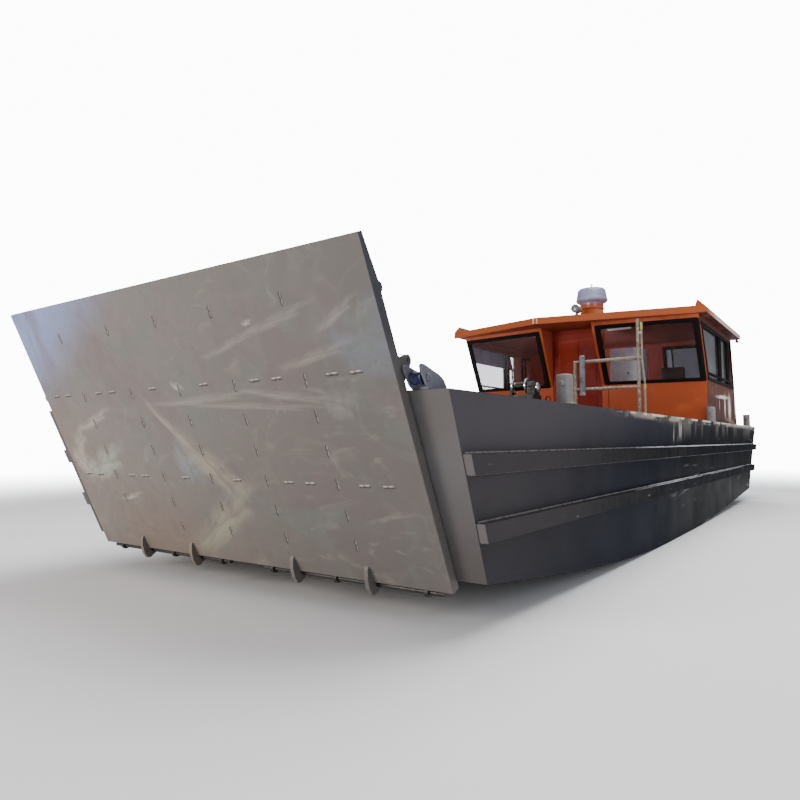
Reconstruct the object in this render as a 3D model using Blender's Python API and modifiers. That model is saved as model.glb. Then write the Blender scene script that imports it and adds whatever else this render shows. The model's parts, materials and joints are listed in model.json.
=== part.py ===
"""Bow-ramp landing craft, about 13 m long, with a full-width ramp and an aft wheelhouse.

Metres, +Z up, +X towards the bow, +Y to port. The origin lies on the flat of the bottom, on the
centreline, halfway along the stretch that the craft stands on.
"""
import math

import bmesh
import bpy
from mathutils import Matrix, Vector

# Hull
GAP = 0.0003
HALF_BEAM = 2.2
SHEER = 1.51
FLAT_HALF = 1.0
BOW_X = 5.6
BOW_RISE = 0.33
BOW_RAKE = math.radians(24.2)
FLARE = 0.043
STERN_X = -5.9
STERN_RISE = 0.24
STERN_TOP_X = -6.68
BOW_STATIONS = 9
STERN_STATIONS = 5

# Decks, as heights above the flat of the bottom
CARGO_DECK = 0.85
AFT_DECK = 1.17
DECK_BREAK_X = 0.9
SLOPE_TOP_X = 3.4
SILL_X = 5.75
SILL_Z = 0.40
DECK_HALF = 1.85
AFT_BULWARK_X = -6.45

# Screw tunnels, engine room and its hatch
TUNNEL_Y = 1.05
TUNNEL_RADIUS = 0.36
TUNNEL_Z = 0.36
TUNNEL_FRONT_X = -4.7
SCREW_X = -5.35
SCREW_RADIUS = 0.3
STERN_TUBE_X = -4.8
SHAFT_RADIUS = 0.028
RUDDER_X = -5.75
RUDDER_TOP = 0.66
HATCH_LOW = (-5.9, -0.4)
HATCH_HIGH = (-5.25, 0.4)
LID_THICK = 0.04
LID_LAP = 0.04

# Rub rails: node name part and top height
RAIL_PROUD = 0.06
RAIL_HIGH = 0.122
RAILS = (("upper", 1.14), ("lower", 0.722))

# Ramp, in its own frame: +Z up the slope from the hinge axis, +X out of the front face
RAMP_TILT = math.radians(24.97)
RAMP_HALF = 1.94
RAMP_LENGTH = 2.274
RAMP_THICK = 0.07
RAMP_LIP = 0.035
RAMP_TAPER = 0.28
HINGE_X = 5.606
HINGE_Z = 0.235
HINGE_DROP = 0.04
BAR_RADIUS = 0.018
BAR_SPAN = (0.2, 1.85)
LUG_Y = (0.59, 1.29)
LUG_THICK = 0.035
BRACKET_Y = (0.3, 0.94, 1.72)
BRACKET_THICK = 0.03

# Deck fittings
BOLLARD_Y = 2.13
BOLLARD_RADIUS = 0.066
BOLLARD_HIGH = 0.24
BOLLARDS = (("fore", 4.2), ("mid", -2.05), ("aft", -5.97))
SHEAVE_X = 6.15
SHEAVE_Z = 1.577
SHEAVE_RADIUS = 0.043
SHEAVE_MID_Y = 2.015
SHEAVE_PIN = 0.012
GUARD_X = 0.65
WINCH = Vector((0.3, -0.04, 2.03))

# Wheelhouse
WALL = 0.05
HOUSE_HALF = 2.075
HOUSE_TOP = 3.19
SILL = 2.18
LEAN = 0.525
CENTRE_X = -1.933
CORNER_X = -2.15
REAR_TOP_X = -4.61
REAR_LEAN = 0.27
RECESS = (-0.445, 0.445)
DOORWAY = (-0.355, 0.355)
DOORWAY_TOP = 3.03
DOORWAY_SILL = 1.24
DOOR_HINGE = (CENTRE_X + 0.0125, DOORWAY[0] + 0.02)
DOOR_KNUCKLES = (1.55, 2.75)
KNUCKLE_HIGH = 0.12
PANE = (2.2, 3.125)
PANE_INNER = 0.05
PANE_OUTER = 0.035
SIDE_PANE = (2.22, 3.06)
GLASS = 0.01
REAR_PANE_Y = (0.86, 1.75)
REAR_PANE_Z = (2.42, 3.08)
ROOF_THICK = 0.085
ROOF_HALF = 2.2
ROOF_CORNER_X = -1.424
ROOF_PEAK = (-0.884, -0.318)
ROOF_REAR_X = -5.0
FASCIA_DROP = 0.025
FASCIA_THICK = 0.03
RIM_HIGH = 0.105
RIM_WIDE = 0.14
RADOME = Vector((-1.83, 0.33, 3.5))
HELM_Y = 1.17

# Sides of round pieces
ROUND = 24
FINE = 32

# Colour, roughness and metallic value of each paint or metal
FINISHES = {
    "grey": ((0.22, 0.215, 0.21), 0.5, 0.0),
    "slate": ((0.075, 0.08, 0.09), 0.35, 0.0),
    "rail_grey": ((0.16, 0.16, 0.165), 0.45, 0.0),
    "orange": ((0.55, 0.12, 0.03), 0.4, 0.0),
    "white": ((0.62, 0.62, 0.68), 0.4, 0.0),
    "cream": ((0.5, 0.5, 0.5), 0.5, 0.0),
    "black": ((0.02, 0.02, 0.022), 0.5, 0.0),
    "blue": ((0.03, 0.05, 0.13), 0.4, 0.0),
    "steel": ((0.55, 0.55, 0.56), 0.25, 1.0),
    "bronze": ((0.45, 0.28, 0.12), 0.35, 1.0),
    "glass": ((0.1, 0.12, 0.13), 0.05, 0.0),
}


def clear_scene():
    """Remove every object that the file starts with."""
    for item in list(bpy.data.objects):
        bpy.data.objects.remove(item, do_unlink=True)


clear_scene()
parts = bpy.data.collections.new("landing_craft")
tools = bpy.data.collections.new("cutters")
bpy.context.scene.collection.children.link(parts)
bpy.context.scene.collection.children.link(tools)


def finish(name):
    """Return the Principled material of one finish, made on first use."""
    found = bpy.data.materials.get(name)
    if found:
        return found
    colour, roughness, metallic = FINISHES[name]
    made = bpy.data.materials.new(name)
    made.use_nodes = True
    shader = made.node_tree.nodes["Principled BSDF"]
    shader.inputs["Base Color"].default_value = (*colour, 1.0)
    shader.inputs["Roughness"].default_value = roughness
    shader.inputs["Metallic"].default_value = metallic
    return made


def add_object(name, mesh, look=None):
    """Link a mesh as a part, or as a hidden operand when it has no finish of its own."""
    item = bpy.data.objects.new(name, mesh)
    if look:
        mesh.materials.append(finish(look))
        parts.objects.link(item)
    else:
        tools.objects.link(item)
        item.hide_render = True
        item.display_type = "WIRE"
    return item


def mesh_from(name, build):
    """Make a mesh with a bmesh and the function that fills it."""
    mesh = bpy.data.meshes.new(name)
    work = bmesh.new()
    build(work)
    bmesh.ops.recalc_face_normals(work, faces=work.faces)
    work.to_mesh(mesh)
    work.free()
    return mesh


def box(name, low, high, look=None):
    """Add a box between two corners."""
    size = Vector(high) - Vector(low)
    centre = (Vector(high) + Vector(low)) / 2
    matrix = Matrix.Translation(centre) @ Matrix.Diagonal((*size, 1.0))
    return add_object(name, mesh_from(name, lambda w: bmesh.ops.create_cube(w, size=1, matrix=matrix)), look)


AXIS_TURN = {
    "X": Matrix.Rotation(math.pi / 2, 4, "Y"),
    "Y": Matrix.Rotation(-math.pi / 2, 4, "X"),
    "Z": Matrix.Identity(4),
}


def cylinder(name, centre, radius, length, axis="Z", look=None, sides=ROUND):
    """Add a cylinder along one axis."""
    matrix = Matrix.Translation(Vector(centre)) @ AXIS_TURN[axis]

    def build(work):
        bmesh.ops.create_cone(work, cap_ends=True, segments=sides, radius1=radius, radius2=radius,
                              depth=length, matrix=matrix)

    return add_object(name, mesh_from(name, build), look)


def mesh_of_curve(name, curve):
    """Turn a curve into a closed mesh."""
    guide = bpy.data.objects.new(name + "_curve", curve)
    bpy.context.scene.collection.objects.link(guide)
    bpy.context.view_layer.update()
    evaluated = guide.evaluated_get(bpy.context.evaluated_depsgraph_get())
    mesh = bpy.data.meshes.new_from_object(evaluated)
    bpy.data.objects.remove(guide, do_unlink=True)
    work = bmesh.new()
    work.from_mesh(mesh)
    bmesh.ops.remove_doubles(work, verts=work.verts, dist=0.00001)
    bmesh.ops.recalc_face_normals(work, faces=work.faces)
    work.to_mesh(mesh)
    work.free()
    mesh.name = name
    mesh.materials.clear()
    return mesh


# Columns: images of an outline's first axis, its second axis and its thickness
PLANES = {
    "XZ": ((1, 0, 0), (0, 0, 1), (0, -1, 0)),
    "YZ": ((0, 1, 0), (0, 0, 1), (1, 0, 0)),
    "XY": ((1, 0, 0), (0, 1, 0), (0, 0, 1)),
}


def plate(name, outline, low, high, plane, look=None):
    """Add a flat outline with a thickness from low to high along the plane's third axis."""
    curve = bpy.data.curves.new(name, "CURVE")
    curve.dimensions = "2D"
    curve.fill_mode = "BOTH"
    curve.extrude = (high - low) / 2
    spline = curve.splines.new("POLY")
    spline.points.add(len(outline) - 1)
    for point, (a, b) in zip(spline.points, outline):
        point.co = (a, b, 0, 1)
    spline.use_cyclic_u = True
    mesh = mesh_of_curve(name, curve)
    turn = Matrix(PLANES[plane]).transposed().to_4x4()
    side = -1 if plane == "XZ" else 1
    mesh.transform(turn @ Matrix.Translation((0, 0, side * (low + high) / 2)))
    return add_object(name, mesh, look)


def tube(name, points, radius, look=None):
    """Add a round tube along straight runs between points."""
    curve = bpy.data.curves.new(name, "CURVE")
    curve.dimensions = "3D"
    curve.bevel_depth = radius
    curve.bevel_resolution = 2
    curve.use_fill_caps = True
    spline = curve.splines.new("POLY")
    spline.points.add(len(points) - 1)
    for point, place in zip(spline.points, points):
        point.co = (*place, 1)
    return add_object(name, mesh_of_curve(name, curve), look)


def turned(name, profile, place, look=None, steps=FINE, closed=False):
    """Add a solid turned about the vertical through place; profile is radius, height from the top."""
    edges = [(i, i + 1) for i in range(len(profile) - 1)]
    if closed:
        edges.append((len(profile) - 1, 0))
    mesh = bpy.data.meshes.new(name)
    mesh.from_pydata([(r, 0, z) for r, z in profile], edges, [])
    item = add_object(name, mesh, look)
    item.location = place
    screw = item.modifiers.new("turn", "SCREW")
    screw.steps = steps
    screw.render_steps = steps
    screw.use_merge_vertices = True
    screw.merge_threshold = 0.00005
    return item


def combine(target, operand, operation):
    """Cut an operand out of a part, or join it to the part."""
    step = target.modifiers.new(operand.name, "BOOLEAN")
    step.operation = operation
    step.solver = "EXACT"
    step.object = operand
    return target


def cut(target, *operands):
    """Cut operands out of a part."""
    for operand in operands:
        combine(target, operand, "DIFFERENCE")


def join(target, *operands):
    """Join operands to a part."""
    for operand in operands:
        combine(target, operand, "UNION")


def pivot(item, place):
    """Move an object's origin to a place on its joint's axis, its shape staying where it is."""
    item.data.transform(Matrix.Translation(-Vector(place)))
    item.location = place


def arc(centre, radius, start, end, count):
    """Return points on a circle from one angle to another, in degrees."""
    turns = [math.radians(start + (end - start) * i / count) for i in range(count + 1)]
    return [(centre[0] + radius * math.cos(t), centre[1] + radius * math.sin(t)) for t in turns]


SIDES = (("port", 1), ("starboard", -1))


def span(side, low, high):
    """Return a range of Y on one side of the craft, low end first."""
    return (low, high) if side > 0 else (-high, -low)


def flare(item):
    """Lean a piece of the hull's sides inwards below the sheer."""
    for vertex in item.data.vertices:
        side = 1 if vertex.co.y > 0 else -1
        vertex.co.y -= side * FLARE * (SHEER - vertex.co.z)
    return item


# Hull
def keel_stations():
    """Return the bottom's outline from the stern to the bow."""
    aft = []
    for i in range(STERN_STATIONS):
        share = 1 - i / STERN_STATIONS
        aft.append((-FLAT_HALF + (STERN_X + FLAT_HALF) * share, STERN_RISE * share ** 1.15))
    fore = []
    for i in range(1, BOW_STATIONS + 1):
        share = i / BOW_STATIONS
        fore.append((FLAT_HALF + (BOW_X - FLAT_HALF) * share, BOW_RISE * share ** 1.7))
    return aft + [(-FLAT_HALF, 0), (FLAT_HALF, 0)] + fore


def keel_height(x):
    """Return the height of the bottom at one place along the craft."""
    stations = keel_stations()
    for (x0, z0), (x1, z1) in zip(stations, stations[1:]):
        if x <= x1:
            return z0 + (z1 - z0) * (x - x0) / (x1 - x0)
    return stations[-1][1]


def bow_face(z):
    """Return the bow face's X at one height."""
    return BOW_X + (z - BOW_RISE) * math.tan(BOW_RAKE)


def stern_face(z):
    """Return the transom's X at one height."""
    return STERN_X + (z - STERN_RISE) * (STERN_TOP_X - STERN_X) / (SHEER - STERN_RISE)


def build_hull():
    """Flat-bottomed hull with side boxes, cargo deck, aft deck, engine room and screw tunnels."""
    outline = keel_stations() + [(bow_face(SHEER), SHEER), (STERN_TOP_X, SHEER)]
    hull = flare(plate("hull", outline, -HALF_BEAM, HALF_BEAM, "XZ", "slate"))
    deck_line = [(AFT_BULWARK_X, AFT_DECK), (DECK_BREAK_X, AFT_DECK), (DECK_BREAK_X, CARGO_DECK),
                 (SLOPE_TOP_X, CARGO_DECK), (SILL_X, SILL_Z), (7.5, SILL_Z), (7.5, 2.0),
                 (AFT_BULWARK_X, 2.0)]
    cut(hull, plate("deck_space", deck_line, -DECK_HALF, DECK_HALF, "XZ"))
    cut(hull, box("engine_room", (-4.6, -1.45, 0.3), (-3.0, 1.45, 1.09)))
    cut(hull, box("shaft_room", (-5.9, -0.6, 0.48), (-4.5, 0.6, 1.085)))
    inner_low = (HATCH_LOW[0] + LID_LAP, HATCH_LOW[1] + LID_LAP, 1.0)
    inner_high = (HATCH_HIGH[0] - LID_LAP, HATCH_HIGH[1] - LID_LAP, 1.3)
    cut(hull, box("hatch_opening", inner_low, inner_high))
    for side, sign in SIDES:
        y = sign * TUNNEL_Y
        length = 7.5 + TUNNEL_FRONT_X
        middle = TUNNEL_FRONT_X - length / 2
        cut(hull, cylinder("tunnel_" + side, (middle, y, TUNNEL_Z), TUNNEL_RADIUS, length, "X", sides=FINE))
        cut(hull, box("tunnel_mouth_" + side, (-7.5, y - TUNNEL_RADIUS, -0.2),
                      (TUNNEL_FRONT_X, y + TUNNEL_RADIUS, TUNNEL_Z)))
        tube_length = TUNNEL_FRONT_X - STERN_TUBE_X + 0.05
        join(hull, cylinder("stern_tube_" + side, (STERN_TUBE_X + tube_length / 2, y, TUNNEL_Z), 0.055,
                            tube_length, "X"))
        join(hull, cylinder("rudder_trunk_" + side, (RUDDER_X, y, RUDDER_TOP + 0.07), 0.05, 0.14))


def build_rails():
    """Two rub rails along each side, with raked ends."""
    for level, top in RAILS:
        low = top - RAIL_HIGH
        outline = [(stern_face(low) - 0.02, low), (bow_face(low) - 0.006, low),
                   (bow_face(top) - 0.006, top), (stern_face(top) - 0.02, top)]
        for side, sign in SIDES:
            y = span(sign, HALF_BEAM + GAP, HALF_BEAM + RAIL_PROUD)
            flare(plate(f"rub_rail_{side}_{level}", outline, *y, "XZ", "rail_grey"))


# Ramp
def hinge_frame():
    """Return the empty on the ramp's hinge axis, tilted as the raised ramp is."""
    frame = bpy.data.objects.new("ramp_axis", None)
    parts.objects.link(frame)
    frame.location = (HINGE_X, 0, HINGE_Z)
    frame.rotation_euler = (0, RAMP_TILT, 0)
    return frame


def lug_outline():
    """Outline of one claw lug, which reaches round the hinge bar and forward below the ramp."""
    eye = 0.04
    claw = [(0.05, -0.05), (0.08, -0.035), (0.09, 0.02), (0.08, 0.09), (0.055, 0.15), (0.033, 0.17),
            (0.0, 0.17)]
    return [(-eye, 0.06)] + arc((0, 0), eye, 180, 270, 6) + claw


def padeye_outline():
    """Outline of a lifting eye on the back of the ramp."""
    back = -RAMP_THICK / 2
    return [(back + 0.02, 1.42)] + arc((back - 0.086, 1.54), 0.036, 240, 60, 9) + [(back + 0.02, 1.6)]


def build_ramp():
    """Bow ramp: a box-section slab with a thin lip, claw lugs, eyes and stops."""
    frame = hinge_frame()
    front = RAMP_THICK / 2
    top = HINGE_DROP + RAMP_LENGTH
    outline = [(-front, HINGE_DROP), (front, HINGE_DROP), (front, top), (front - RAMP_LIP, top),
               (-front, top - RAMP_TAPER)]
    ramp = plate("ramp", outline, -RAMP_HALF, RAMP_HALF, "XZ", "grey")
    pieces = [ramp]
    for side, sign in SIDES:
        for number, y in enumerate(LUG_Y, 1):
            place = span(sign, y - LUG_THICK / 2, y + LUG_THICK / 2)
            lug = plate(f"lug_{side}_{number}", lug_outline(), *place, "XZ")
            hole = cylinder(f"lug_hole_{side}_{number}", (0, sign * y, 0), BAR_RADIUS + 0.0009, 0.1, "Y",
                            sides=16)
            join(ramp, lug)
            cut(ramp, hole)
            pieces += [lug, hole]
        eye = plate("padeye_" + side, padeye_outline(), *span(sign, 1.905, 1.935), "XZ")
        eye_hole = cylinder("padeye_hole_" + side, (-front - 0.086, sign * 1.92, 1.54), 0.014, 0.1, "Y",
                            sides=16)
        stop = cylinder("stop_" + side, (-front + 0.01, sign * 1.915, 2.0), 0.035, 0.045, "Y")
        join(ramp, eye, stop)
        cut(ramp, eye_hole)
        pieces += [eye, eye_hole, stop]
    for piece in pieces:
        piece.parent = frame


def build_ramp_hinges():
    """Hinge bars under the bow, each carried by three bracket plates on the hull's bottom."""
    seat = GAP * 2
    outline = [(5.555, keel_height(5.555) - seat)]
    outline += arc((HINGE_X, HINGE_Z), 0.034, 135, -110, 12)
    outline += [(5.2, keel_height(5.2) - seat)]
    for side, sign in SIDES:
        y = span(sign, *BAR_SPAN)
        hinge = cylinder("ramp_hinge_" + side, (HINGE_X, sum(y) / 2, HINGE_Z), BAR_RADIUS, y[1] - y[0], "Y",
                         "rail_grey", sides=16)
        for number, place in enumerate(BRACKET_Y, 1):
            reach = span(sign, place - BRACKET_THICK / 2, place + BRACKET_THICK / 2)
            join(hinge, plate(f"hinge_bracket_{side}_{number}", outline, *reach, "XZ"))


def build_sheaves():
    """Lead sheaves for the ramp's wires, between cheek plates on top of the side boxes."""
    base = SHEER + GAP
    cheek = [(5.945, base), (6.125, base), (6.165, 1.535), (6.222, 1.612), (6.23, 1.635),
             (6.215, 1.648), (6.195, 1.648), (6.03, 1.6), (5.98, 1.572), (5.95, 1.535)]
    cheek_thick = 0.014
    reach = 0.05
    for side, sign in SIDES:
        middle = sign * SHEAVE_MID_Y
        outer = plate("sheave_bracket_" + side, cheek, middle + reach, middle + reach + cheek_thick, "XZ",
                      "grey")
        inner = plate("inner_cheek_" + side, cheek, middle - reach - cheek_thick, middle - reach, "XZ")
        foot = box("sheave_foot_" + side, (6.0, middle - reach - 0.005, base),
                   (6.12, middle + reach + 0.005, 1.529))
        pin = cylinder("sheave_pin_" + side, (SHEAVE_X, middle, SHEAVE_Z), SHEAVE_PIN, 0.16, "Y")
        join(outer, foot, inner, pin)
        width = 0.07
        groove = 0.012
        profile = [(SHEAVE_PIN + 0.0007, width / 2), (SHEAVE_RADIUS, width / 2), (SHEAVE_RADIUS, width / 3),
                   (SHEAVE_RADIUS - groove, 0), (SHEAVE_RADIUS, -width / 3), (SHEAVE_RADIUS, -width / 2),
                   (SHEAVE_PIN + 0.0007, -width / 2)]
        sheave = turned("sheave_" + side, profile, (SHEAVE_X, middle, SHEAVE_Z), "blue", ROUND, True)
        sheave.rotation_euler = (math.pi / 2, 0, 0)


# Deck fittings
def build_bollards():
    """Pipe bollards with a cross pin, along both side boxes."""
    for side, sign in SIDES:
        for place, x in BOLLARDS:
            centre = (x, sign * BOLLARD_Y, SHEER + GAP + BOLLARD_HIGH / 2)
            post = cylinder(f"bollard_{side}_{place}", centre, BOLLARD_RADIUS, BOLLARD_HIGH, "Z", "grey")
            pin_z = SHEER + BOLLARD_HIGH * 0.68
            join(post, cylinder(f"bollard_pin_{side}_{place}", (x, centre[1], pin_z), 0.014, 0.19, "X",
                                sides=12))


def build_guard_rail():
    """Guard rail across the port side of the deck break, with a tall pole and its brace."""
    deck = AFT_DECK + GAP
    near, far = 0.917, 1.757
    top, middle = 2.28, 1.91
    rail = tube("guard_rail", [(GUARD_X, near, deck), (GUARD_X, near, top), (GUARD_X, far + 0.03, top)],
                0.028, "grey")
    join(rail, tube("guard_pole", [(GUARD_X, far, deck), (GUARD_X, far, 2.79)], 0.022))
    join(rail, tube("guard_middle", [(GUARD_X, near, middle), (GUARD_X, far, middle)], 0.02))
    outer = far + 0.045
    join(rail, tube("guard_brace", [(GUARD_X, outer, 2.742), (GUARD_X, outer, 2.26),
                                    (GUARD_X, outer + 0.028, 1.95), (GUARD_X, outer + 0.028, deck)], 0.014))
    for number, z in enumerate((2.6, 2.28), 1):
        join(rail, box(f"guard_clamp_{number}", (GUARD_X - 0.018, far, z - 0.02),
                       (GUARD_X + 0.018, outer + 0.01, z + 0.02)))
    join(rail, cylinder("guard_socket", (GUARD_X + 0.03, near + 0.108, 2.09), 0.036, 0.54))


def build_winch():
    """Ramp winch on a pedestal: frame with bearing arm and motor, and a drum between flanges."""
    x, y, z = WINCH
    deck = AFT_DECK + GAP
    frame = box("winch_frame", (x - 0.15, y - 0.16, deck), (x + 0.15, y + 0.25, z - 0.14), "blue")
    join(frame, box("winch_arm", (x - 0.05, y - 0.16, z - 0.2), (x + 0.05, y - 0.13, z + 0.05)))
    join(frame, box("winch_motor", (x - 0.08, y + 0.12, z - 0.2), (x + 0.08, y + 0.25, z + 0.06)))
    join(frame, tube("winch_lever", [(x, y - 0.145, z), (x, y - 0.145, z + 0.24)], 0.01))
    run = 0.0007
    profile = [(0.0, 0.12 - run), (0.02, 0.12 - run), (0.02, 0.11), (0.1, 0.11), (0.1, 0.085),
               (0.06, 0.08), (0.06, -0.09), (0.1, -0.095), (0.1, -0.12), (0.02, -0.12),
               (0.02, -0.13 + run), (0.0, -0.13 + run)]
    drum = turned("winch_drum", profile, (x, y, z), "steel", ROUND)
    drum.rotation_euler = (-math.pi / 2, 0, 0)


# Wheelhouse
def lean_at(z):
    """Return how far forward the window boxes lean at one height."""
    return max(0.0, (z - SILL) / (HOUSE_TOP - SILL)) * LEAN


def slant(item, sign):
    """Shear a piece built about X=0 onto one half of the blunt front of the wheelhouse."""
    inner = RECESS[1] if sign > 0 else RECESS[0]
    slope = (CORNER_X - CENTRE_X) / (HOUSE_HALF - abs(inner))
    for vertex in item.data.vertices:
        vertex.co.x += CENTRE_X + slope * (abs(vertex.co.y) - abs(inner))
    return item


def panel_outline(front, back, low, high):
    """Outline of a wall or pane that is upright to the sill and leans forward above it."""
    if low >= SILL:
        return [(lean_at(low) - back, low), (lean_at(low) - front, low), (lean_at(high) - front, high),
                (lean_at(high) - back, high)]
    return [(-back, low), (-front, low), (-front, SILL), (lean_at(high) - front, high),
            (lean_at(high) - back, high), (-back, SILL)]


def side_box_room(name, sign):
    """Cutter that leaves room for a side box below a wall that stands on it."""
    low, high = span(sign, DECK_HALF - GAP, 3.0)
    return box(name, (-6.0, low, 0.0), (-1.0, high, SHEER + GAP))


def build_front():
    """Front window boxes, their side reveals and the upright middle wall with the doorway."""
    foot = AFT_DECK + GAP
    for side, sign in SIDES:
        inner = abs(RECESS[1] if sign > 0 else RECESS[0])
        y = span(sign, inner, HOUSE_HALF)
        wall = slant(plate("front_" + side, panel_outline(0, WALL, foot, HOUSE_TOP), *y, "XZ", "orange"), sign)
        reveal = [(-0.06, SILL - 0.3), (-0.02, SILL - 0.3), (-0.02, SILL), (LEAN - 0.02, HOUSE_TOP),
                  (-0.06, HOUSE_TOP)]
        join(wall, slant(plate("reveal_" + side, reveal, *span(sign, inner, inner + WALL), "XZ"), sign))
        opening = panel_outline(-0.2, 0.3, *PANE)
        y_pane = span(sign, inner + PANE_INNER, HOUSE_HALF - PANE_OUTER)
        cut(wall, slant(plate("front_opening_" + side, opening, *y_pane, "XZ"), sign))
        cut(wall, side_box_room("front_step_" + side, sign))
        pane = panel_outline(0.015, 0.015 + GLASS, PANE[0] + GAP, PANE[1] - GAP)
        y_glass = (y_pane[0] + GAP, y_pane[1] - GAP)
        slant(plate("glass_front_" + side, pane, *y_glass, "XZ", "glass"), sign)
    middle = box("front_middle", (CENTRE_X - WALL, RECESS[0] + GAP, foot),
                 (CENTRE_X, RECESS[1] - GAP, HOUSE_TOP), "orange")
    cut(middle, plate("doorway", doorway_outline(0), -3.0, -1.0, "YZ"))
    jamb = DOORWAY[0]
    leaf = [(CENTRE_X - 0.005, jamb - 0.04), (CENTRE_X + 0.012, jamb - 0.04),
            (CENTRE_X + 0.012, DOOR_HINGE[1]), (CENTRE_X + 0.002, DOOR_HINGE[1]),
            (CENTRE_X + 0.002, jamb - 0.005), (CENTRE_X - 0.005, jamb - 0.005)]
    for number, z in enumerate(DOOR_KNUCKLES, 1):
        low = z + KNUCKLE_HIGH / 2 + 0.0006
        join(middle, plate(f"frame_leaf_{number}", leaf, low, low + 0.06, "XY"))
        join(middle, cylinder(f"frame_knuckle_{number}", (*DOOR_HINGE, low + 0.03), 0.012, 0.06, sides=12))


def doorway_outline(inset):
    """Outline of the doorway, or of the door inset from it, with round upper corners."""
    low, high = DOORWAY[0] + inset, DOORWAY[1] - inset
    top = DOORWAY_TOP - inset
    radius = 0.06
    outline = [(low, DOORWAY_SILL + inset), (high, DOORWAY_SILL + inset)]
    outline += arc((high - radius, top - radius), radius, 0, 90, 4)
    return outline + arc((low + radius, top - radius), radius, 90, 180, 4)


def build_door():
    """Wheelhouse door, hinged on its starboard edge and opening outwards."""
    door = plate("wheelhouse_door", doorway_outline(0.006), CENTRE_X - 0.035, CENTRE_X - 0.001, "YZ",
                 "orange")
    grip = DOORWAY[1] - 0.08
    join(door, cylinder("door_spindle", (CENTRE_X + 0.015, grip, 2.15), 0.012, 0.07, "X", sides=12))
    join(door, box("door_handle", (CENTRE_X + 0.035, grip - 0.12, 2.138),
                   (CENTRE_X + 0.048, grip + 0.015, 2.162)))
    for number, z in enumerate(DOOR_KNUCKLES, 1):
        join(door, cylinder(f"door_knuckle_{number}", (*DOOR_HINGE, z), 0.012, KNUCKLE_HIGH, sides=12))
        join(door, box(f"door_leaf_{number}", (CENTRE_X - 0.01, DOOR_HINGE[1], z - KNUCKLE_HIGH / 2),
                       (CENTRE_X + 0.012, DOOR_HINGE[1] + 0.045, z + KNUCKLE_HIGH / 2)))
    pivot(door, (*DOOR_HINGE, DOORWAY_SILL))


def side_front_x(z):
    """Return the X of a side wall's front edge, just behind the front wall."""
    return CORNER_X + lean_at(z) - WALL - GAP * 2


def rear_x(z):
    """Return the X of the rear wall's outer face, which leans forward."""
    return REAR_TOP_X - REAR_LEAN * (HOUSE_TOP - z)


def build_side_walls():
    """Side walls with one long window band each, and its glass."""
    foot = SHEER + GAP
    outline = [(rear_x(foot), foot), (side_front_x(foot), foot), (side_front_x(SILL), SILL),
               (side_front_x(HOUSE_TOP), HOUSE_TOP), (rear_x(HOUSE_TOP), HOUSE_TOP)]
    low, high = SIDE_PANE
    band = [(rear_x(low) + 0.08, low), (side_front_x(low) - 0.05, low),
            (side_front_x(high) - 0.05, high), (rear_x(high) + 0.08, high)]
    pane = [(rear_x(low) + 0.08 + GAP * 2, low + GAP), (side_front_x(low) - 0.05 - GAP, low + GAP),
            (side_front_x(high) - 0.05 - GAP * 2, high - GAP), (rear_x(high) + 0.08 + GAP, high - GAP)]
    for side, sign in SIDES:
        wall = plate("side_wall_" + side, outline, *span(sign, HOUSE_HALF - WALL, HOUSE_HALF), "XZ", "orange")
        cut(wall, plate("side_opening_" + side, band, *span(sign, 1.9, 2.3), "XZ"))
        middle = HOUSE_HALF - WALL / 2
        plate("glass_side_" + side, pane, *span(sign, middle - GLASS / 2, middle + GLASS / 2), "XZ", "glass")


def rear_outline(low, high, ahead, thick):
    """Outline of a slab that leans with the rear wall, some way ahead of its outer face."""
    return [(rear_x(low) + ahead, low), (rear_x(low) + ahead + thick, low),
            (rear_x(high) + ahead + thick, high), (rear_x(high) + ahead, high)]


def build_rear_wall():
    """Rear wall between the side walls, standing on the deck and the side boxes, with two windows."""
    half = HOUSE_HALF - WALL - GAP
    wall = plate("rear_wall", rear_outline(AFT_DECK + GAP, HOUSE_TOP, 0, WALL), -half, half, "XZ", "orange")
    low, high = REAR_PANE_Z
    pane = rear_outline(low + GAP, high - GAP, 0.02, GLASS)
    for side, sign in SIDES:
        cut(wall, side_box_room("rear_step_" + side, sign))
        y = span(sign, *REAR_PANE_Y)
        cut(wall, box("rear_opening_" + side, (-5.5, y[0], low), (-4.0, y[1], high)))
        plate("glass_rear_" + side, pane, y[0] + GAP, y[1] - GAP, "XZ", "glass")


def build_roof():
    """Roof with a blunt front and its fascia, wedge-shaped rims on both sides and the radome's pedestal."""
    low = HOUSE_TOP + GAP
    front = [(ROOF_CORNER_X, -ROOF_HALF), ROOF_PEAK, (ROOF_CORNER_X, ROOF_HALF)]
    outline = [(ROOF_REAR_X, -ROOF_HALF)] + front + [(ROOF_REAR_X, ROOF_HALF)]
    roof = plate("roof", outline, low, low + ROOF_THICK, "XY", "orange")
    fascia = front + [(x - FASCIA_THICK, y) for x, y in reversed(front)]
    join(roof, plate("roof_fascia", fascia, low - FASCIA_DROP, low + 0.02, "XY"))
    top = low + ROOF_THICK
    rim = [(ROOF_HALF, top - 0.01), (ROOF_HALF, top), (ROOF_HALF - RIM_HIGH, top + RIM_HIGH),
           (ROOF_HALF - RIM_WIDE, top), (ROOF_HALF - RIM_WIDE, top - 0.01)]
    for side, sign in SIDES:
        profile = [(sign * y, z) for y, z in rim]
        join(roof, plate("roof_rim_" + side, profile, ROOF_REAR_X, ROOF_CORNER_X, "YZ"))
    pedestal = RADOME.z - GAP - top
    join(roof, cylinder("radome_pedestal", (RADOME.x, RADOME.y, top + pedestal / 2 - 0.01), 0.13,
                        pedestal + 0.02))


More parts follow.
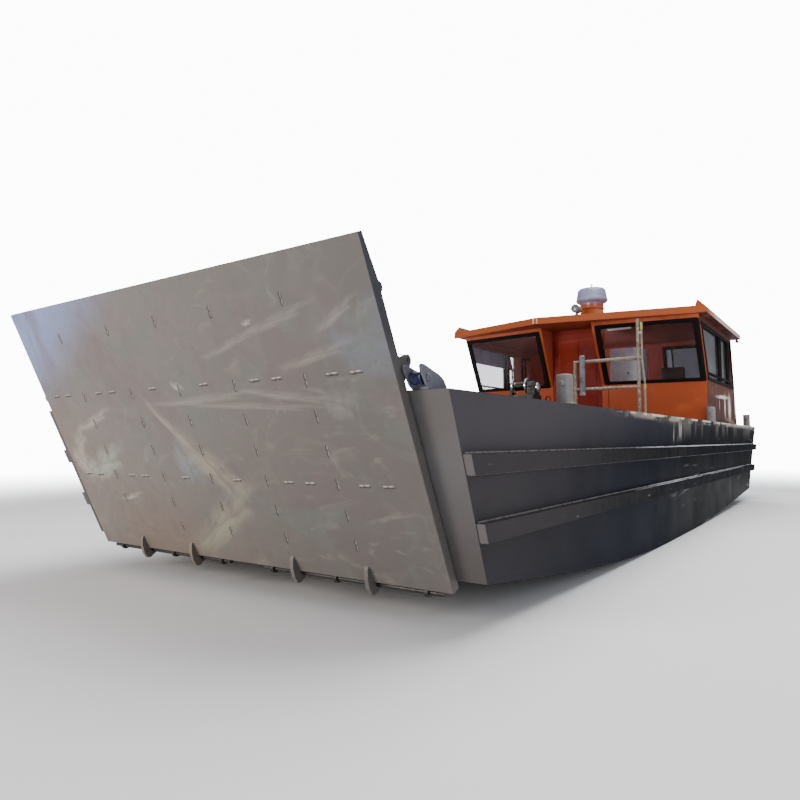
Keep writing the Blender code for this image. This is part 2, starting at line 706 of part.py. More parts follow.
def build_roof_fittings():
    """Radome with its small top lamp, and the searchlight beside it."""
    profile = [(0.0, 0.44), (0.016, 0.44), (0.016, 0.37), (0.12, 0.365), (0.22, 0.345), (0.25, 0.32),
               (0.264, 0.14), (0.255, 0.12), (0.19, 0.09), (0.19, 0.0), (0.0, 0.0)]
    turned("radome", profile, RADOME, "white")
    roof_top = HOUSE_TOP + GAP * 2 + ROOF_THICK
    x, y = -1.35, 0.23
    lamp = cylinder("searchlight", (x, y, roof_top + 0.155), 0.065, 0.16, "X", "white")
    join(lamp, cylinder("searchlight_foot", (x, y, roof_top + 0.06), 0.025, 0.12))
    for side, sign in SIDES:
        cylinder("stern_lamp_" + side, (ROOF_REAR_X - GAP - 0.04, sign * 2.14, HOUSE_TOP + 0.05), 0.04, 0.08,
                 "X", "black")


def build_interior():
    """Helm console with its wheel, helm seat and an equipment cabinet."""
    deck = AFT_DECK + GAP
    console = [(-2.95, deck), (-2.35, deck), (-2.35, 2.16), (-2.5, 2.22), (-2.95, 2.02)]
    plate("helm_console", console, 0.95, 1.45, "XZ", "black")
    box("cabinet", (-3.05, 0.4, deck), (-2.55, 0.93, 2.87), "cream")
    seat = box("helm_seat", (-3.95, HELM_Y - 0.25, 1.62), (-3.45, HELM_Y + 0.25, 1.74), "black")
    join(seat, box("seat_back", (-3.97, HELM_Y - 0.22, 1.7), (-3.87, HELM_Y + 0.22, 2.62)))
    join(seat, cylinder("seat_post", (-3.7, HELM_Y, (deck + 1.65) / 2), 0.06, 1.65 - deck))
    join(seat, cylinder("seat_foot", (-3.7, HELM_Y, deck + 0.01), 0.2, 0.02))
    hub = Vector((-2.95, HELM_Y, 1.85))
    wheel = cylinder("helm_wheel", (hub.x - 0.045, hub.y, hub.z), 0.04, 0.0894, "X", "black")
    rim = bpy.data.meshes.new("helm_rim")
    ring = [(0.19 + 0.013 * math.cos(math.radians(a)), 0, 0.013 * math.sin(math.radians(a)))
            for a in range(150, -211, -45)]
    rim.from_pydata(ring, [(i, i + 1) for i in range(len(ring) - 1)], [])
    rim_item = add_object("helm_rim", rim)
    rim_item.location = (hub.x - 0.075, hub.y, hub.z)
    rim_item.rotation_euler = (0, math.pi / 2, 0)
    screw = rim_item.modifiers.new("turn", "SCREW")
    screw.steps = ROUND
    screw.render_steps = ROUND
    screw.use_merge_vertices = True
    screw.merge_threshold = 0.00005
    join(wheel, rim_item)
    for spoke in range(3):
        turn = math.radians(90 + 120 * spoke)
        end = (hub.x - 0.075, hub.y + 0.185 * math.cos(turn), hub.z + 0.185 * math.sin(turn))
        join(wheel, tube(f"helm_spoke_{spoke}", [(hub.x - 0.075, hub.y, hub.z), end], 0.01))
    pivot(wheel, hub)


# Machinery
def build_machinery():
    """Twin engines, screws with their shafts, rudders and the engine-room hatch lid."""
    for side, sign in SIDES:
        y = span(sign, 0.45, 1.15)
        box("engine_" + side, (-4.35, y[0], 0.3 + GAP), (-3.25, y[1], 0.95), "cream")
        build_screw(side, sign)
        build_rudder(side, sign)
    deck = AFT_DECK + GAP
    lid = box("engine_hatch", (*HATCH_LOW, deck), (*HATCH_HIGH, deck + LID_THICK), "grey")
    pivot(lid, (HATCH_HIGH[0], 0, deck + LID_THICK / 2))


def build_screw(side, sign):
    """Four-bladed screw with its shaft, turning about X."""
    centre = Vector((SCREW_X, sign * TUNNEL_Y, TUNNEL_Z))
    shaft_end = STERN_TUBE_X - 0.0007
    hub = cylinder("screw_" + side, centre, 0.055, 0.16, "X", "bronze")
    length = shaft_end - SCREW_X
    join(hub, cylinder("shaft_" + side, (SCREW_X + length / 2, centre.y, centre.z), SHAFT_RADIUS, length,
                       "X"))
    for blade in range(4):
        turn = Matrix.Rotation(math.radians(45 + 90 * blade), 4, "X")
        pitch = Matrix.Rotation(math.radians(-sign * 28), 4, "Z")
        shape = Matrix.Diagonal((0.09, 0.135, 1.0, 1.0))
        lie = Matrix.Translation((0, 0, SCREW_RADIUS - 0.135)) @ pitch @ Matrix.Rotation(
            math.pi / 2, 4, "Y") @ Matrix.Rotation(math.pi / 2, 4, "Z") @ shape
        matrix = turn @ lie

        def build(work, matrix=matrix):
            bmesh.ops.create_cone(work, cap_ends=True, segments=ROUND, radius1=1, radius2=1, depth=0.014,
                                  matrix=matrix)

        piece = add_object(f"blade_{side}_{blade}", mesh_from("blade", build))
        piece.location = centre
        join(hub, piece)
    pivot(hub, centre)


def build_rudder(side, sign):
    """Rudder with a streamlined blade and its stock, turning about the vertical."""
    y = sign * TUNNEL_Y
    half = 0.022
    foil = [(0.12, 0), (0.09, half * 0.8), (0.02, half), (-0.24, 0.004), (-0.24, -0.004), (0.02, -half),
            (0.09, -half * 0.8)]
    outline = [(RUDDER_X + a, y + b) for a, b in foil]
    rudder = plate("rudder_" + side, outline, 0.09, 0.6, "XY", "rail_grey")
    top = RUDDER_TOP - 0.0006
    join(rudder, cylinder("stock_" + side, (RUDDER_X, y, (0.3 + top) / 2), 0.019, top - 0.3, sides=16))
    pivot(rudder, (RUDDER_X, y, top))


build_hull()
build_rails()
build_ramp()
build_ramp_hinges()
build_sheaves()
build_bollards()
build_guard_rail()
build_winch()
build_front()
build_door()
build_side_walls()
build_rear_wall()
build_roof()
build_roof_fittings()
build_interior()
build_machinery()
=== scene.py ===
"""Looks of a bow-ramp landing craft: weathered paint, glass and gaskets, welds, deck gear and cabin.

Metres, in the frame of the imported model: +X towards the bow ramp, +Y to port, +Z up.
"""
from __future__ import annotations

import json
import logging
import math
from dataclasses import dataclass
from enum import Enum
from typing import Any, Iterable, Sequence

import bmesh
import bpy
from mathutils import Matrix, Vector

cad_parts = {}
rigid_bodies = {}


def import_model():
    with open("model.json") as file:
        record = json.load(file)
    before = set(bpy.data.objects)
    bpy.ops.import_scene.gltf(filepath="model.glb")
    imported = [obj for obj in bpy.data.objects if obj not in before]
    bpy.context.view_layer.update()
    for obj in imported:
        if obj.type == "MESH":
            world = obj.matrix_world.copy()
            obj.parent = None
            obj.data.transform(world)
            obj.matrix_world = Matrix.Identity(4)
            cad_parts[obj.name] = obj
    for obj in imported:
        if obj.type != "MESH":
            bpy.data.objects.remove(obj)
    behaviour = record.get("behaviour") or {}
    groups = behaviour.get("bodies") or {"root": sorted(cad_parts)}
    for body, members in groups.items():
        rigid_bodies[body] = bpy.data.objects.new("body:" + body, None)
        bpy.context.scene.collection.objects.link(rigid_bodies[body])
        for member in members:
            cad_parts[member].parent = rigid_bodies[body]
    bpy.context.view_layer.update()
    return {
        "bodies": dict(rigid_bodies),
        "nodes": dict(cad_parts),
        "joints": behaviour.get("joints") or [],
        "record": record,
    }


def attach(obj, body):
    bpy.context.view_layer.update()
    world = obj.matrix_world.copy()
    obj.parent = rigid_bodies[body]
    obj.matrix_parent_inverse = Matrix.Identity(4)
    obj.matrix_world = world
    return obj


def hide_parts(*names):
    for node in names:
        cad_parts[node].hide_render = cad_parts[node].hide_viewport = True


LOG = logging.getLogger("landing_craft")

# Types that recur, and the axes
Socket = bpy.types.NodeSocket
Pair = tuple[float, float]
Point = tuple[float, float, float]
Row = tuple[float, ...]
X, Y, Z = (1, 0, 0), (0, 1, 0), (0, 0, 1)
MINUS_X = (-1, 0, 0)

# Edges that turn more than this stay sharp, and points closer than this are one.
SHARP_TURN = math.radians(38)
SAME_POINT = 0.00002


# Colours and the node helper
def hex_rgba(code: str) -> tuple[float, float, float, float]:
    """Turn an sRGB hex colour into the linear colour that a shader socket takes.

    Args:
        code: Colour as "#rrggbb".

    Returns:
        Linear red, green and blue, and full alpha.
    """
    parts = [int(code[i:i + 2], 16) / 255 for i in (1, 3, 5)]
    linear = [c / 12.92 if c <= 0.04045 else ((c + 0.055) / 1.055) ** 2.4 for c in parts]
    return (linear[0], linear[1], linear[2], 1.0)


def add_node(tree: bpy.types.NodeTree, kind: str, inputs: dict[Any, Any] | None = None,
             **settings: Any) -> bpy.types.Node:
    """Add one node with its settings, and fill or link its inputs.

    Args:
        tree: Node tree of the material.
        kind: Node type without the words ShaderNode.
        inputs: Socket name or number to a plain value, or to the socket that feeds it.
        **settings: Fields of the node itself.

    Returns:
        The new node.
    """
    made = tree.nodes.new("ShaderNode" + kind)
    for name, value in settings.items():
        setattr(made, name, value)
    for name, value in (inputs or {}).items():
        if isinstance(value, Socket):
            tree.links.new(value, made.inputs[name])
        else:
            made.inputs[name].default_value = value
    return made


# Named options
class Side(Enum):
    """Side of the craft, with the sign of its Y."""

    PORT = 1
    STARBOARD = -1

    @property
    def word(self) -> str:
        """Name of the side as the nodes spell it."""
        return self.name.lower()

    def span(self, low: float, high: float) -> Pair:
        """Range of Y on this side, low end first."""
        return (low, high) if self is Side.PORT else (-high, -low)


class Motif(Enum):
    """Kind of mark that a layer makes."""

    CLOUD = "soft patches"
    LINES = "thin curved lines, as wiping and scraping leave"


# Wear, painted light and finishes
@dataclass(frozen=True)
class Limit:
    """Where a layer begins and is full along a direction, or by how far the surface faces that way."""

    direction: Point
    start: float
    full: float
    facing: bool = False


@dataclass(frozen=True)
class Spot:
    """Oval area, ragged at its rim, on a surface that looks along X, or along Y if it is sideways."""

    middle: Pair
    half: Pair
    turn: float = 0.0
    sideways: bool = False


@dataclass(frozen=True)
class Layer:
    """One layer over a paint, of wear, dirt, painted light and shade: its colour, the size of its marks and
    where it shows.
    """

    colour: str
    size_mm: float
    start: float
    full: float
    strength: float = 1.0
    motif: Motif = Motif.CLOUD
    stretch: Point = (1.0, 1.0, 1.0)
    detail: float = 6.0
    swirl: float = 0.0
    limits: tuple[Limit, ...] = ()
    seed: float = 0.0
    spot: Spot | None = None


@dataclass(frozen=True)
class Grain:
    """Lowest and highest roughness, size and depth of the fine relief, and how far corners look rounded."""

    smooth: float
    rough: float
    size_mm: float
    depth_mm: float
    edge_mm: float


PORT_FACE = Limit(Y, 0.4, 0.7, facing=True)
BOW_FACE = Limit(X, 0.6, 0.8, facing=True)
BACK_FACE = Limit(X, -0.5, -0.8, facing=True)
UP_FACE = Limit(Z, 0.6, 0.85, facing=True)
DOWN_FACE = Limit(Z, -0.6, -0.85, facing=True)
PORT_WALL = Limit(Y, 2.069, 2.073)

# Noise on an oval runs in the oval's own measure, so this makes grain of about 0.7 of its half sizes.
SMEAR_GRAIN_MM = 700
# An oval's third axis is so long that the oval reaches through any wall.
THROUGH = 1000.0
# How much the noise eats into an oval's rim, and between which measures the rim fades out.
RIM_NOISE = -0.9
RIM_FADE = (0.6, -0.3)


def tint(colour: str, strength: float, *limits: Limit) -> Layer:
    """Even layer of another colour over part of a surface: a second paint, painted light and painted shade.
    """
    return Layer(colour, 1200, 0.0, 0.2, strength, limits=limits)


def smear(colour: str, strength: float, middle: Pair, half: Pair,
          turn: float = 0.0) -> Layer:
    """Smear of chalk or dust on the bow side, its length tilted by turn degrees from Y towards Z."""
    return Layer(colour, SMEAR_GRAIN_MM, 0.3, 0.62, strength * 0.85, swirl=0.7, limits=(BOW_FACE,),
                 spot=Spot(middle, half, turn))


def wall_mark(colour: str, strength: float, middle: Pair, half: Pair,
              turn: float = 0.0) -> Layer:
    """Run or patch of old paint on the wheelhouse's port wall, or a painted highlight there, tilted by turn
    degrees from X towards Z.
    """
    return Layer(colour, SMEAR_GRAIN_MM, 0.1, 0.4, strength, swirl=0.4, limits=(PORT_WALL,),
                 spot=Spot(middle, half, turn, sideways=True))


class PaintBench:
    """Builds one material's nodes from the bottom coat to the last layer of dirt, wear, painted light and
    shade.
    """

    def __init__(self, name: str) -> None:
        """Start an empty material.

        Args:
            name: Material name.
        """
        self.material = bpy.data.materials.new(name)
        self.material.use_nodes = True
        self.tree = self.material.node_tree
        self.tree.nodes.clear()
        place = add_node(self.tree, "TexCoord")
        self.place, self.normal = place.outputs["Object"], place.outputs["Normal"]

    def fade(self, value: Socket, start: float, full: float,
             top: float = 1.0) -> Socket:
        """Rise softly from 0, where the value is at start, to the top, where it is at full."""
        ends = {"Value": value, "From Min": start, "From Max": full, "To Max": top}
        return add_node(self.tree, "MapRange", ends, interpolation_type="SMOOTHSTEP").outputs["Result"]

    def combine(self, operation: str, *values: Any) -> Socket:
        """Put numbers or sockets through one arithmetic operation."""
        return add_node(self.tree, "Math", dict(enumerate(values)), operation=operation).outputs[0]

    def measure(self, operation: str, *values: Any) -> Socket:
        """Take the number that a vector operation gives, such as a length."""
        made = add_node(self.tree, "VectorMath", dict(enumerate(values)), operation=operation)
        return made.outputs["Value"]

    def noise(self, **inputs: Any) -> Socket:
        """Make noise, in the object's own place unless a Vector is given."""
        return add_node(self.tree, "TexNoise", {"Vector": self.place, **inputs}).outputs["Fac"]

    def mask_of(self, layer: Layer) -> Socket:
        """Work out where a layer shows.

        Args:
            layer: The layer of wear, dirt, painted light and shade.

        Returns:
            Socket with its strength at each point, 0 to 1.
        """
        spot = layer.spot
        if spot is None:
            shift = tuple(layer.seed * k for k in (1.0, 1.7, 2.3))
            place, kind = {"Location": shift, "Scale": layer.stretch}, "POINT"
        else:
            (u, v), (long, wide), turn = spot.middle, spot.half, math.radians(spot.turn)
            place, kind = {"Location": (0.0, u, v), "Rotation": (turn, 0.0, 0.0),
                           "Scale": (THROUGH, long, wide)}, "TEXTURE"
            if spot.sideways:
                place = {"Location": (u, 0.0, v), "Rotation": (0.0, -turn, 0.0),
                         "Scale": (long, THROUGH, wide)}
        mapped = add_node(self.tree, "Mapping", {"Vector": self.place, **place}, vector_type=kind)
        at = mapped.outputs["Vector"]
        noise = self.noise(Vector=at, Scale=1000 / layer.size_mm, Detail=layer.detail, Roughness=0.6,
                           Distortion=layer.swirl)
        value = noise
        if layer.motif is Motif.LINES:
            value = self.combine("ABSOLUTE", self.combine("SUBTRACT", noise, 0.5))
        mask = self.fade(value, layer.start, layer.full, layer.strength)
        if spot is not None:
            ragged = self.combine("MULTIPLY_ADD", noise, RIM_NOISE, self.measure("LENGTH", at))
            mask = self.combine("MULTIPLY", mask, self.fade(ragged, *RIM_FADE))
        for limit in layer.limits:
            along = self.measure("DOT_PRODUCT", self.normal if limit.facing else self.place, limit.direction)
            mask = self.combine("MULTIPLY", mask, self.fade(along, limit.start, limit.full))
        return mask

    def coats(self, base: str, layers: Iterable[Layer]) -> Socket:
        """Lay every layer over the base colour.

        Args:
            base: Hex colour of the paint or metal.
            layers: Layers, the lowest first.

        Returns:
            Colour socket of the finished surface.
        """
        colour: Any = hex_rgba(base)
        for layer in layers:
            mixed = add_node(self.tree, "MixRGB", {
                "Fac": self.mask_of(layer), "Color1": colour, "Color2": hex_rgba(layer.colour)})
            colour = mixed.outputs["Color"]
        return colour

    def texture(self, grain: Grain) -> dict[str, Socket]:
        """Make the uneven gloss and the fine relief of a surface.

        Args:
            grain: Measures of both.

        Returns:
            Roughness and normal for the shader.
        """
        fine = self.noise(Scale=1000 / grain.size_mm, Detail=5.0, Roughness=0.55)
        gloss = self.noise(Scale=120 / grain.size_mm, Detail=4.0, Distortion=0.6)
        rough = add_node(self.tree, "MapRange", {"Value": gloss, "From Min": 0.3, "From Max": 0.7,
                                                 "To Min": grain.smooth, "To Max": grain.rough})
        edge = add_node(self.tree, "Bevel", {"Radius": grain.edge_mm / 1000}, samples=4)
        bump = add_node(self.tree, "Bump", {
            "Height": fine, "Strength": 0.5, "Distance": grain.depth_mm / 1000,
            "Normal": edge.outputs["Normal"]})
        return {"Roughness": rough.outputs["Result"], "Normal": bump.outputs["Normal"]}

    def shade(self, inputs: dict[str, Any]) -> bpy.types.Material:
        """Close the material with its shader.

        Args:
            inputs: Inputs of the shader.

        Returns:
            The finished material.
        """
        shader = add_node(self.tree, "BsdfPrincipled", inputs)
        add_node(self.tree, "OutputMaterial", {"Surface": shader.outputs["BSDF"]})
        return self.material


@dataclass(frozen=True)
class Finish:
    """A painted, moulded or bare surface with its wear, and the record's slot of pieces made in it here."""

    name: str
    base: str
    layers: tuple[Layer, ...]
    grain: Grain
    metallic: float = 0.0
    specular: float = 0.5
    ior: float = 1.5
    coat: float = 0.0
    alpha: float = 1.0
    glow: float = 0.0
    slot: str = "grey"

    def build(self) -> bpy.types.Material:
        """Build the material once, and reuse it after that.

        Returns:
            The material.
        """
        known = bpy.data.materials.get(self.name)
        if known is not None:
            return known
        bench = PaintBench(self.name)
        inputs = {"Base Color": bench.coats(self.base, self.layers), "Metallic": self.metallic,
                  "Alpha": self.alpha, **bench.texture(self.grain)}
        if self.metallic < 0.5:
            inputs.update({"Specular IOR Level": self.specular, "IOR": self.ior})
        if self.glow:
            inputs.update({"Emission Color": hex_rgba(self.base), "Emission Strength": self.glow})
        if self.coat:
            inputs.update({"Coat Weight": self.coat, "Coat Roughness": 0.08})
        return bench.shade(inputs)


# Rolled plate under a grey alkyd coat: chalky smears, wiping marks and brown dust near the bottom.
RAMP_PAINT = Finish("scuffed_grey_ramp_paint", "#726d69", (
    # Painted highlight: a bluish sky sheen on the top starboard corner of the face.
    tint("#8493c2", 0.9, Limit((0, -0.5, 1.0), 2.35, 3.1), BOW_FACE),
    smear("#8f9cc0", 0.75, (1.9, 1.8), (0.5, 0.3)),
    tint("#575350", 0.75, Limit((0, 1, -0.2), -1.4, 2.2)),
    Layer("#7a675a", 1600, 0.2, 0.6, 0.7, limits=(Limit((0, -0.6, -1.0), -0.9, 0.4),)),
    Layer("#666b66", 800, 0.5, 0.68, 0.6, swirl=1.0, seed=3.0),
    Layer("#6c5d5f", 1000, 0.5, 0.66, 0.5, swirl=1.0, seed=13.0),
    Layer("#8b857d", 420, 0.56, 0.74, 0.4, swirl=3.0, detail=7.0, seed=15.0, stretch=(1, 0.6, 1.2)),
    Layer("#857e78", 700, 0.03, 0.0, 0.09, Motif.LINES, swirl=1.0, detail=1.0, seed=8.0),
    Layer("#5d5755", 90, 0.5, 0.7, 0.22, swirl=0.4, detail=5.0, seed=11.0, stretch=(1, 0.9, 0.2)),
    smear("#b3aa94", 0.5, (-0.31, 1.35), (0.34, 0.05), -46),
    smear("#a89f88", 0.6, (0.02, 1.04), (0.46, 0.16), -39),
    smear("#a8a48c", 0.55, (-0.05, 0.59), (0.7, 0.17), 31),
    smear("#a49c94", 0.42, (0.17, 1.52), (0.78, 0.038), 2),
    smear("#a49c94", 0.4, (1.05, 1.51), (0.55, 0.038), -7),
    smear("#9c948c", 0.45, (0.62, 1.46), (0.95, 0.03), -3),
    smear("#a49d96", 0.36, (0.68, 1.86), (0.4, 0.034), 13),
    smear("#a49d96", 0.34, (1.15, 1.96), (0.4, 0.045), 11),
    smear("#a49d90", 0.38, (1.38, 1.73), (0.4, 0.045), 10),
    smear("#a49d96", 0.4, (1.63, 1.94), (0.24, 0.04), 25),
    smear("#b5aca2", 0.6, (-1.32, 1.4), (0.36, 0.05), 16),
    smear("#b5aca2", 0.55, (-1.7, 1.2), (0.28, 0.09), 42),
    smear("#bdb4a8", 0.6, (-1.75, 1.03), (0.2, 0.16), -28),
    smear("#a9afa4", 0.7, (-1.4, 1.03), (0.42, 0.15), 20),
    smear("#c2b8b0", 0.6, (0.9, 1.97), (0.06, 0.024), 7),
    smear("#b9afa4", 0.7, (-1.2, 0.74), (0.2, 0.03), 12),
    smear("#c2b8b0", 0.7, (-0.03, 1.62), (0.08, 0.04), -20),
    smear("#8c8884", 0.5, (1.47, 1.44), (0.16, 0.13)),
    smear("#8a94a0", 0.5, (-0.24, 1.04), (0.22, 0.18), -57),
    Layer("#4a4340", 120, 0.68, 0.75, 0.3, detail=8.0, seed=2.0),
    # Painted shade: the port-facing edges darker, darkest high up.
    tint("#4b4745", 0.75, PORT_FACE),
    tint("#2a2b33", 0.8, PORT_FACE, Limit(Z, 1.5, 1.9)),
    tint("#5a5652", 0.8, BACK_FACE),
    Layer("#8f8a84", 240, 0.5, 0.66, 0.6, stretch=(1, 1, 0.12), seed=5.0, limits=(BACK_FACE,)),
    Layer("#7d5a40", 110, 0.64, 0.72, 0.5, detail=8.0, seed=7.0, limits=(BACK_FACE,)),
), Grain(0.42, 0.58, 14, 0.3, 5), specular=0.3)

# Slate hull enamel, nearly black: lighter grey toward the bow and the top as painted sky reflection,
# blue-black aft with painted streaks of wet reflection, a scraped sheer and pale drips.
HULL_PAINT = Finish("slate_hull_enamel", "#0b0e15", (
    # Painted sky reflection: lighter grey toward the bow and toward the top.
    Layer("#444142", 1400, 0.0, 0.5, 0.8, limits=(Limit((1, 0, 0.3), 2.0, 6.2),)),
    Layer("#4a474b", 1400, 0.0, 0.5, 0.85, limits=(Limit((0.25, 0, 3.0), 3.0, 5.8),)),
    Layer("#0a142b", 1400, 0.0, 0.5, 0.34,
          limits=(Limit((-1, 0, -2.0), -7.8, -4.2), Limit(X, -1.0, 2.4), PORT_FACE)),
    Layer("#040508", 900, 0.35, 0.65, 0.65, seed=4.0, stretch=(0.3, 1, 1), detail=2.0,
          limits=(Limit((-1, 0, -1.0), -2.8, 0.6),)),
    # Painted wet reflection: long pale streaks aft on the port side.
    Layer("#77797e", 420, 0.62, 0.68, 0.5, stretch=(0.16, 1, 1.6), detail=3.0, swirl=1.2, seed=6.0,
          limits=(Limit(X, 2.2, -0.5), PORT_FACE)),
    Layer("#6b6660", 300, 0.46, 0.6, 0.85, stretch=(1, 1, 0.1), detail=4.0, seed=21.0,
          limits=(Limit(Z, 1.2, 1.46), Limit(X, 1.4, -0.4), PORT_FACE)),
    Layer("#a9a49c", 180, 0.5, 0.6, 0.8, stretch=(1, 1, 0.1), detail=4.0, seed=6.0,
          limits=(Limit(Z, 1.16, 1.3), Limit(X, 1.1, 0.8), Limit(X, 0.1, 0.4), PORT_FACE)),
    Layer("#5b554e", 420, 0.42, 0.6, 0.7, detail=7.0, seed=1.0, stretch=(0.3, 1, 1),
          limits=(Limit(Z, 1.38, 1.47), Limit(X, 2.6, 1.2), PORT_FACE)),
    Layer("#a39b90", 260, 0.49, 0.54, 0.9, detail=9.0, seed=1.0, stretch=(0.4, 1, 1),
          limits=(Limit(Z, 1.43, 1.475), Limit(X, 3.4, 1.4), PORT_FACE)),
    Layer("#d6cfc5", 200, 0.44, 0.5, 0.95, detail=9.0, seed=5.0, stretch=(0.5, 1, 1),
          limits=(Limit(Z, 1.475, 1.495), Limit(X, 3.6, 1.8))),
    tint("#626061", 1.0, BOW_FACE),
    tint("#4b4644", 0.7, BOW_FACE, Limit(Z, 1.2, 0.3)),
    Layer("#5f5956", 600, 0.4, 0.7, 0.5, swirl=1.0, seed=9.0, limits=(BOW_FACE,)),
    tint("#57544f", 1.0, UP_FACE),
    Layer("#454240", 700, 0.42, 0.7, 0.55, detail=9.0, seed=7.0, limits=(UP_FACE,)),
    Layer("#726d66", 300, 0.52, 0.7, 0.5, detail=8.0, seed=17.0, stretch=(0.3, 1, 1), limits=(UP_FACE,)),
    Layer("#7a5236", 90, 0.66, 0.74, 0.6, detail=9.0, seed=12.0, limits=(UP_FACE,)),
), Grain(0.3, 0.4, 90, 0.05, 5), specular=0.1, ior=1.1)
RAIL_PAINT = Finish("slate_rub_rail_paint", "#15171c", (
    # Painted sky reflection: lighter toward the bow, as on the hull.
    tint("#413e3f", 0.85, Limit(X, 1.6, 5.6)),
    tint("#646061", 0.9, BOW_FACE),
    Layer("#2e2c2b", 500, 0.5, 0.7, 0.6, stretch=(0.25, 1, 1), seed=2.0),
    Layer("#8d877f", 60, 0.66, 0.72, 0.7, stretch=(0.2, 1, 1), detail=9.0, seed=5.0),
), Grain(0.4, 0.55, 12, 0.2, 6), specular=0.1, ior=1.1)
# Weld lines of the rub rails: painted white glints along all but the bow stretch.
RAIL_WELD_GLINT = Finish("wet_weld_line", "#5c5859", (
    Layer("#e3e4e8", 110, 0.36, 0.46, 1.0, stretch=(0.2, 1, 1), limits=(Limit(X, 2.8, 0.6),)),
    Layer("#3a3839", 60, 0.5, 0.6, 0.5, stretch=(0.3, 1, 1), seed=4.0),
), Grain(0.2, 0.4, 5, 0.5, 2), slot="rail_grey")
# Ramp plug welds: dark beads as their painted shadow lines, pale beads beside them as painted highlights.
WELD = Finish("painted_weld_bead", "#3a3533", (Layer("#6a625d", 12, 0.5, 0.6, 0.5),),
              Grain(0.45, 0.65, 5, 0.8, 2))
WELD_CREST_HIGHLIGHT = Finish("bright_weld_rim", "#a39b93", (Layer("#6d6661", 14, 0.5, 0.62, 0.6),),
                  Grain(0.35, 0.5, 5, 0.6, 2))
# Fascia weld strips, drawn pale as a painted highlight where the fascia bends and catches light.
PALE_WELD_HIGHLIGHT = Finish("ground_weld_bead", "#e8b093", (Layer("#a0603f", 20, 0.5, 0.62, 0.6),),
                   Grain(0.35, 0.5, 5, 0.5, 2), slot="orange")
DECK_PAINT = Finish("light_grey_fitting_paint", "#777270", (
    Layer("#4f4a47", 140, 0.5, 0.7, 0.7, seed=1.0),
    Layer("#9c6a48", 45, 0.68, 0.76, 0.4, seed=4.0),
    Layer("#8b8683", 200, 0.5, 0.7, 0.5, stretch=(1, 1, 0.2), seed=7.0),
), Grain(0.38, 0.6, 8, 0.4, 3))
TUBE_PAINT = Finish("weathered_tube_paint", "#8a7e70", (
    Layer("#675648", 60, 0.5, 0.62, 0.8, seed=3.0),
    Layer("#b9afa2", 40, 0.54, 0.64, 0.8, seed=6.0),
), Grain(0.35, 0.6, 6, 0.5, 2))
SOCKET_PAINT = Finish("blue_grey_socket_paint", "#686a74", (Layer("#5a4c48", 70, 0.5, 0.62, 0.8),),
                      Grain(0.35, 0.5, 8, 0.3, 2))
CHEEK_PAINT = Finish("blue_grey_bracket_paint", "#5a5b65", (
    Layer("#45464d", 110, 0.5, 0.7, 0.7, seed=1.0),
    Layer("#77767b", 60, 0.6, 0.7, 0.4, seed=4.0),
), Grain(0.4, 0.55, 8, 0.3, 6))
MACHINE_PAINT = Finish("black_machine_enamel", "#15161b", (
    Layer("#6d7078", 36, 0.6, 0.68, 0.8),
    Layer("#3b2b24", 60, 0.62, 0.72, 0.6, seed=3.0),
), Grain(0.3, 0.5, 8, 0.3, 6), specular=0.25, slot="blue")
DARK_STEEL = Finish("blackened_steel", "#181617", (
    Layer("#5c5551", 40, 0.6, 0.7, 0.6),
    Layer("#4a2f20", 120, 0.6, 0.75, 0.6, seed=3.0),
), Grain(0.35, 0.6, 6, 0.4, 3))

# Two-pack orange enamel on steel: lighter under the eaves and on the recess's side as painted light, painted
# shadow under the port eave, a painted highlight at the port wall's rear corner, browner and darker low on
# the port wall.
HOUSE_PAINT = Finish("weathered_orange_enamel", "#9f421c", (
    # Painted light: a lighter, less red band under the eaves.
    tint("#d06d44", 0.9, Limit(Z, 2.9, 3.16)),
    Layer("#a5451a", 700, 0.45, 0.7, 0.6, swirl=1.0, seed=2.0),
    Layer("#c96a34", 420, 0.55, 0.75, 0.35, seed=5.0),
    Layer("#8a4a2c", 160, 0.62, 0.72, 0.5, stretch=(1, 1, 0.15), seed=8.0),
    tint("#512d1f", 0.9, PORT_WALL, Limit(Z, 2.3, 2.15)),
    tint("#481508", 0.75, PORT_WALL, Limit(Z, 2.0, 1.9)),
    Layer("#3a1c14", 70, 0.5, 0.56, 0.7, stretch=(1, 1, 0.1), detail=4.0, seed=3.0,
          limits=(PORT_WALL, Limit(Z, 2.04, 1.9))),
    wall_mark("#f6ebe0", 1.0, (-3.55, 1.985), (0.82, 0.045), -2),
    wall_mark("#f6ebe0", 1.0, (-3.75, 1.84), (0.1, 0.28)),
    wall_mark("#f6ebe0", 1.0, (-4.24, 1.82), (0.22, 0.34)),
    wall_mark("#f6ebe0", 0.8, (-3.2, 1.84), (0.03, 0.14)),
    # Painted highlight along the port wall's rear corner.
    wall_mark("#f6ebe0", 0.8, (-4.88, 1.84), (0.06, 0.26)),
    wall_mark("#b88270", 0.8, (-4.3, 1.58), (0.7, 0.06), 3),
    tint("#bd4a36", 0.9, BOW_FACE, Limit(X, -4.2, -4.4)),
    # Painted light: the recess's side on the starboard half, which faces port, lighter and less red.
    tint("#b2573e", 0.9, PORT_FACE, Limit(Y, -0.6, -0.5), Limit(Y, -0.3, -0.4)),
    tint("#6e2a20", 0.9, PORT_FACE, Limit(Y, -1.9, -2.0)),
    # Painted shadow: dark maroon along the top of the port wall, under the eave.
    tint("#4d1a13", 0.95, PORT_WALL, Limit(Z, 3.0, 3.04)),
), Grain(0.42, 0.55, 24, 0.2, 4), specular=0.25)
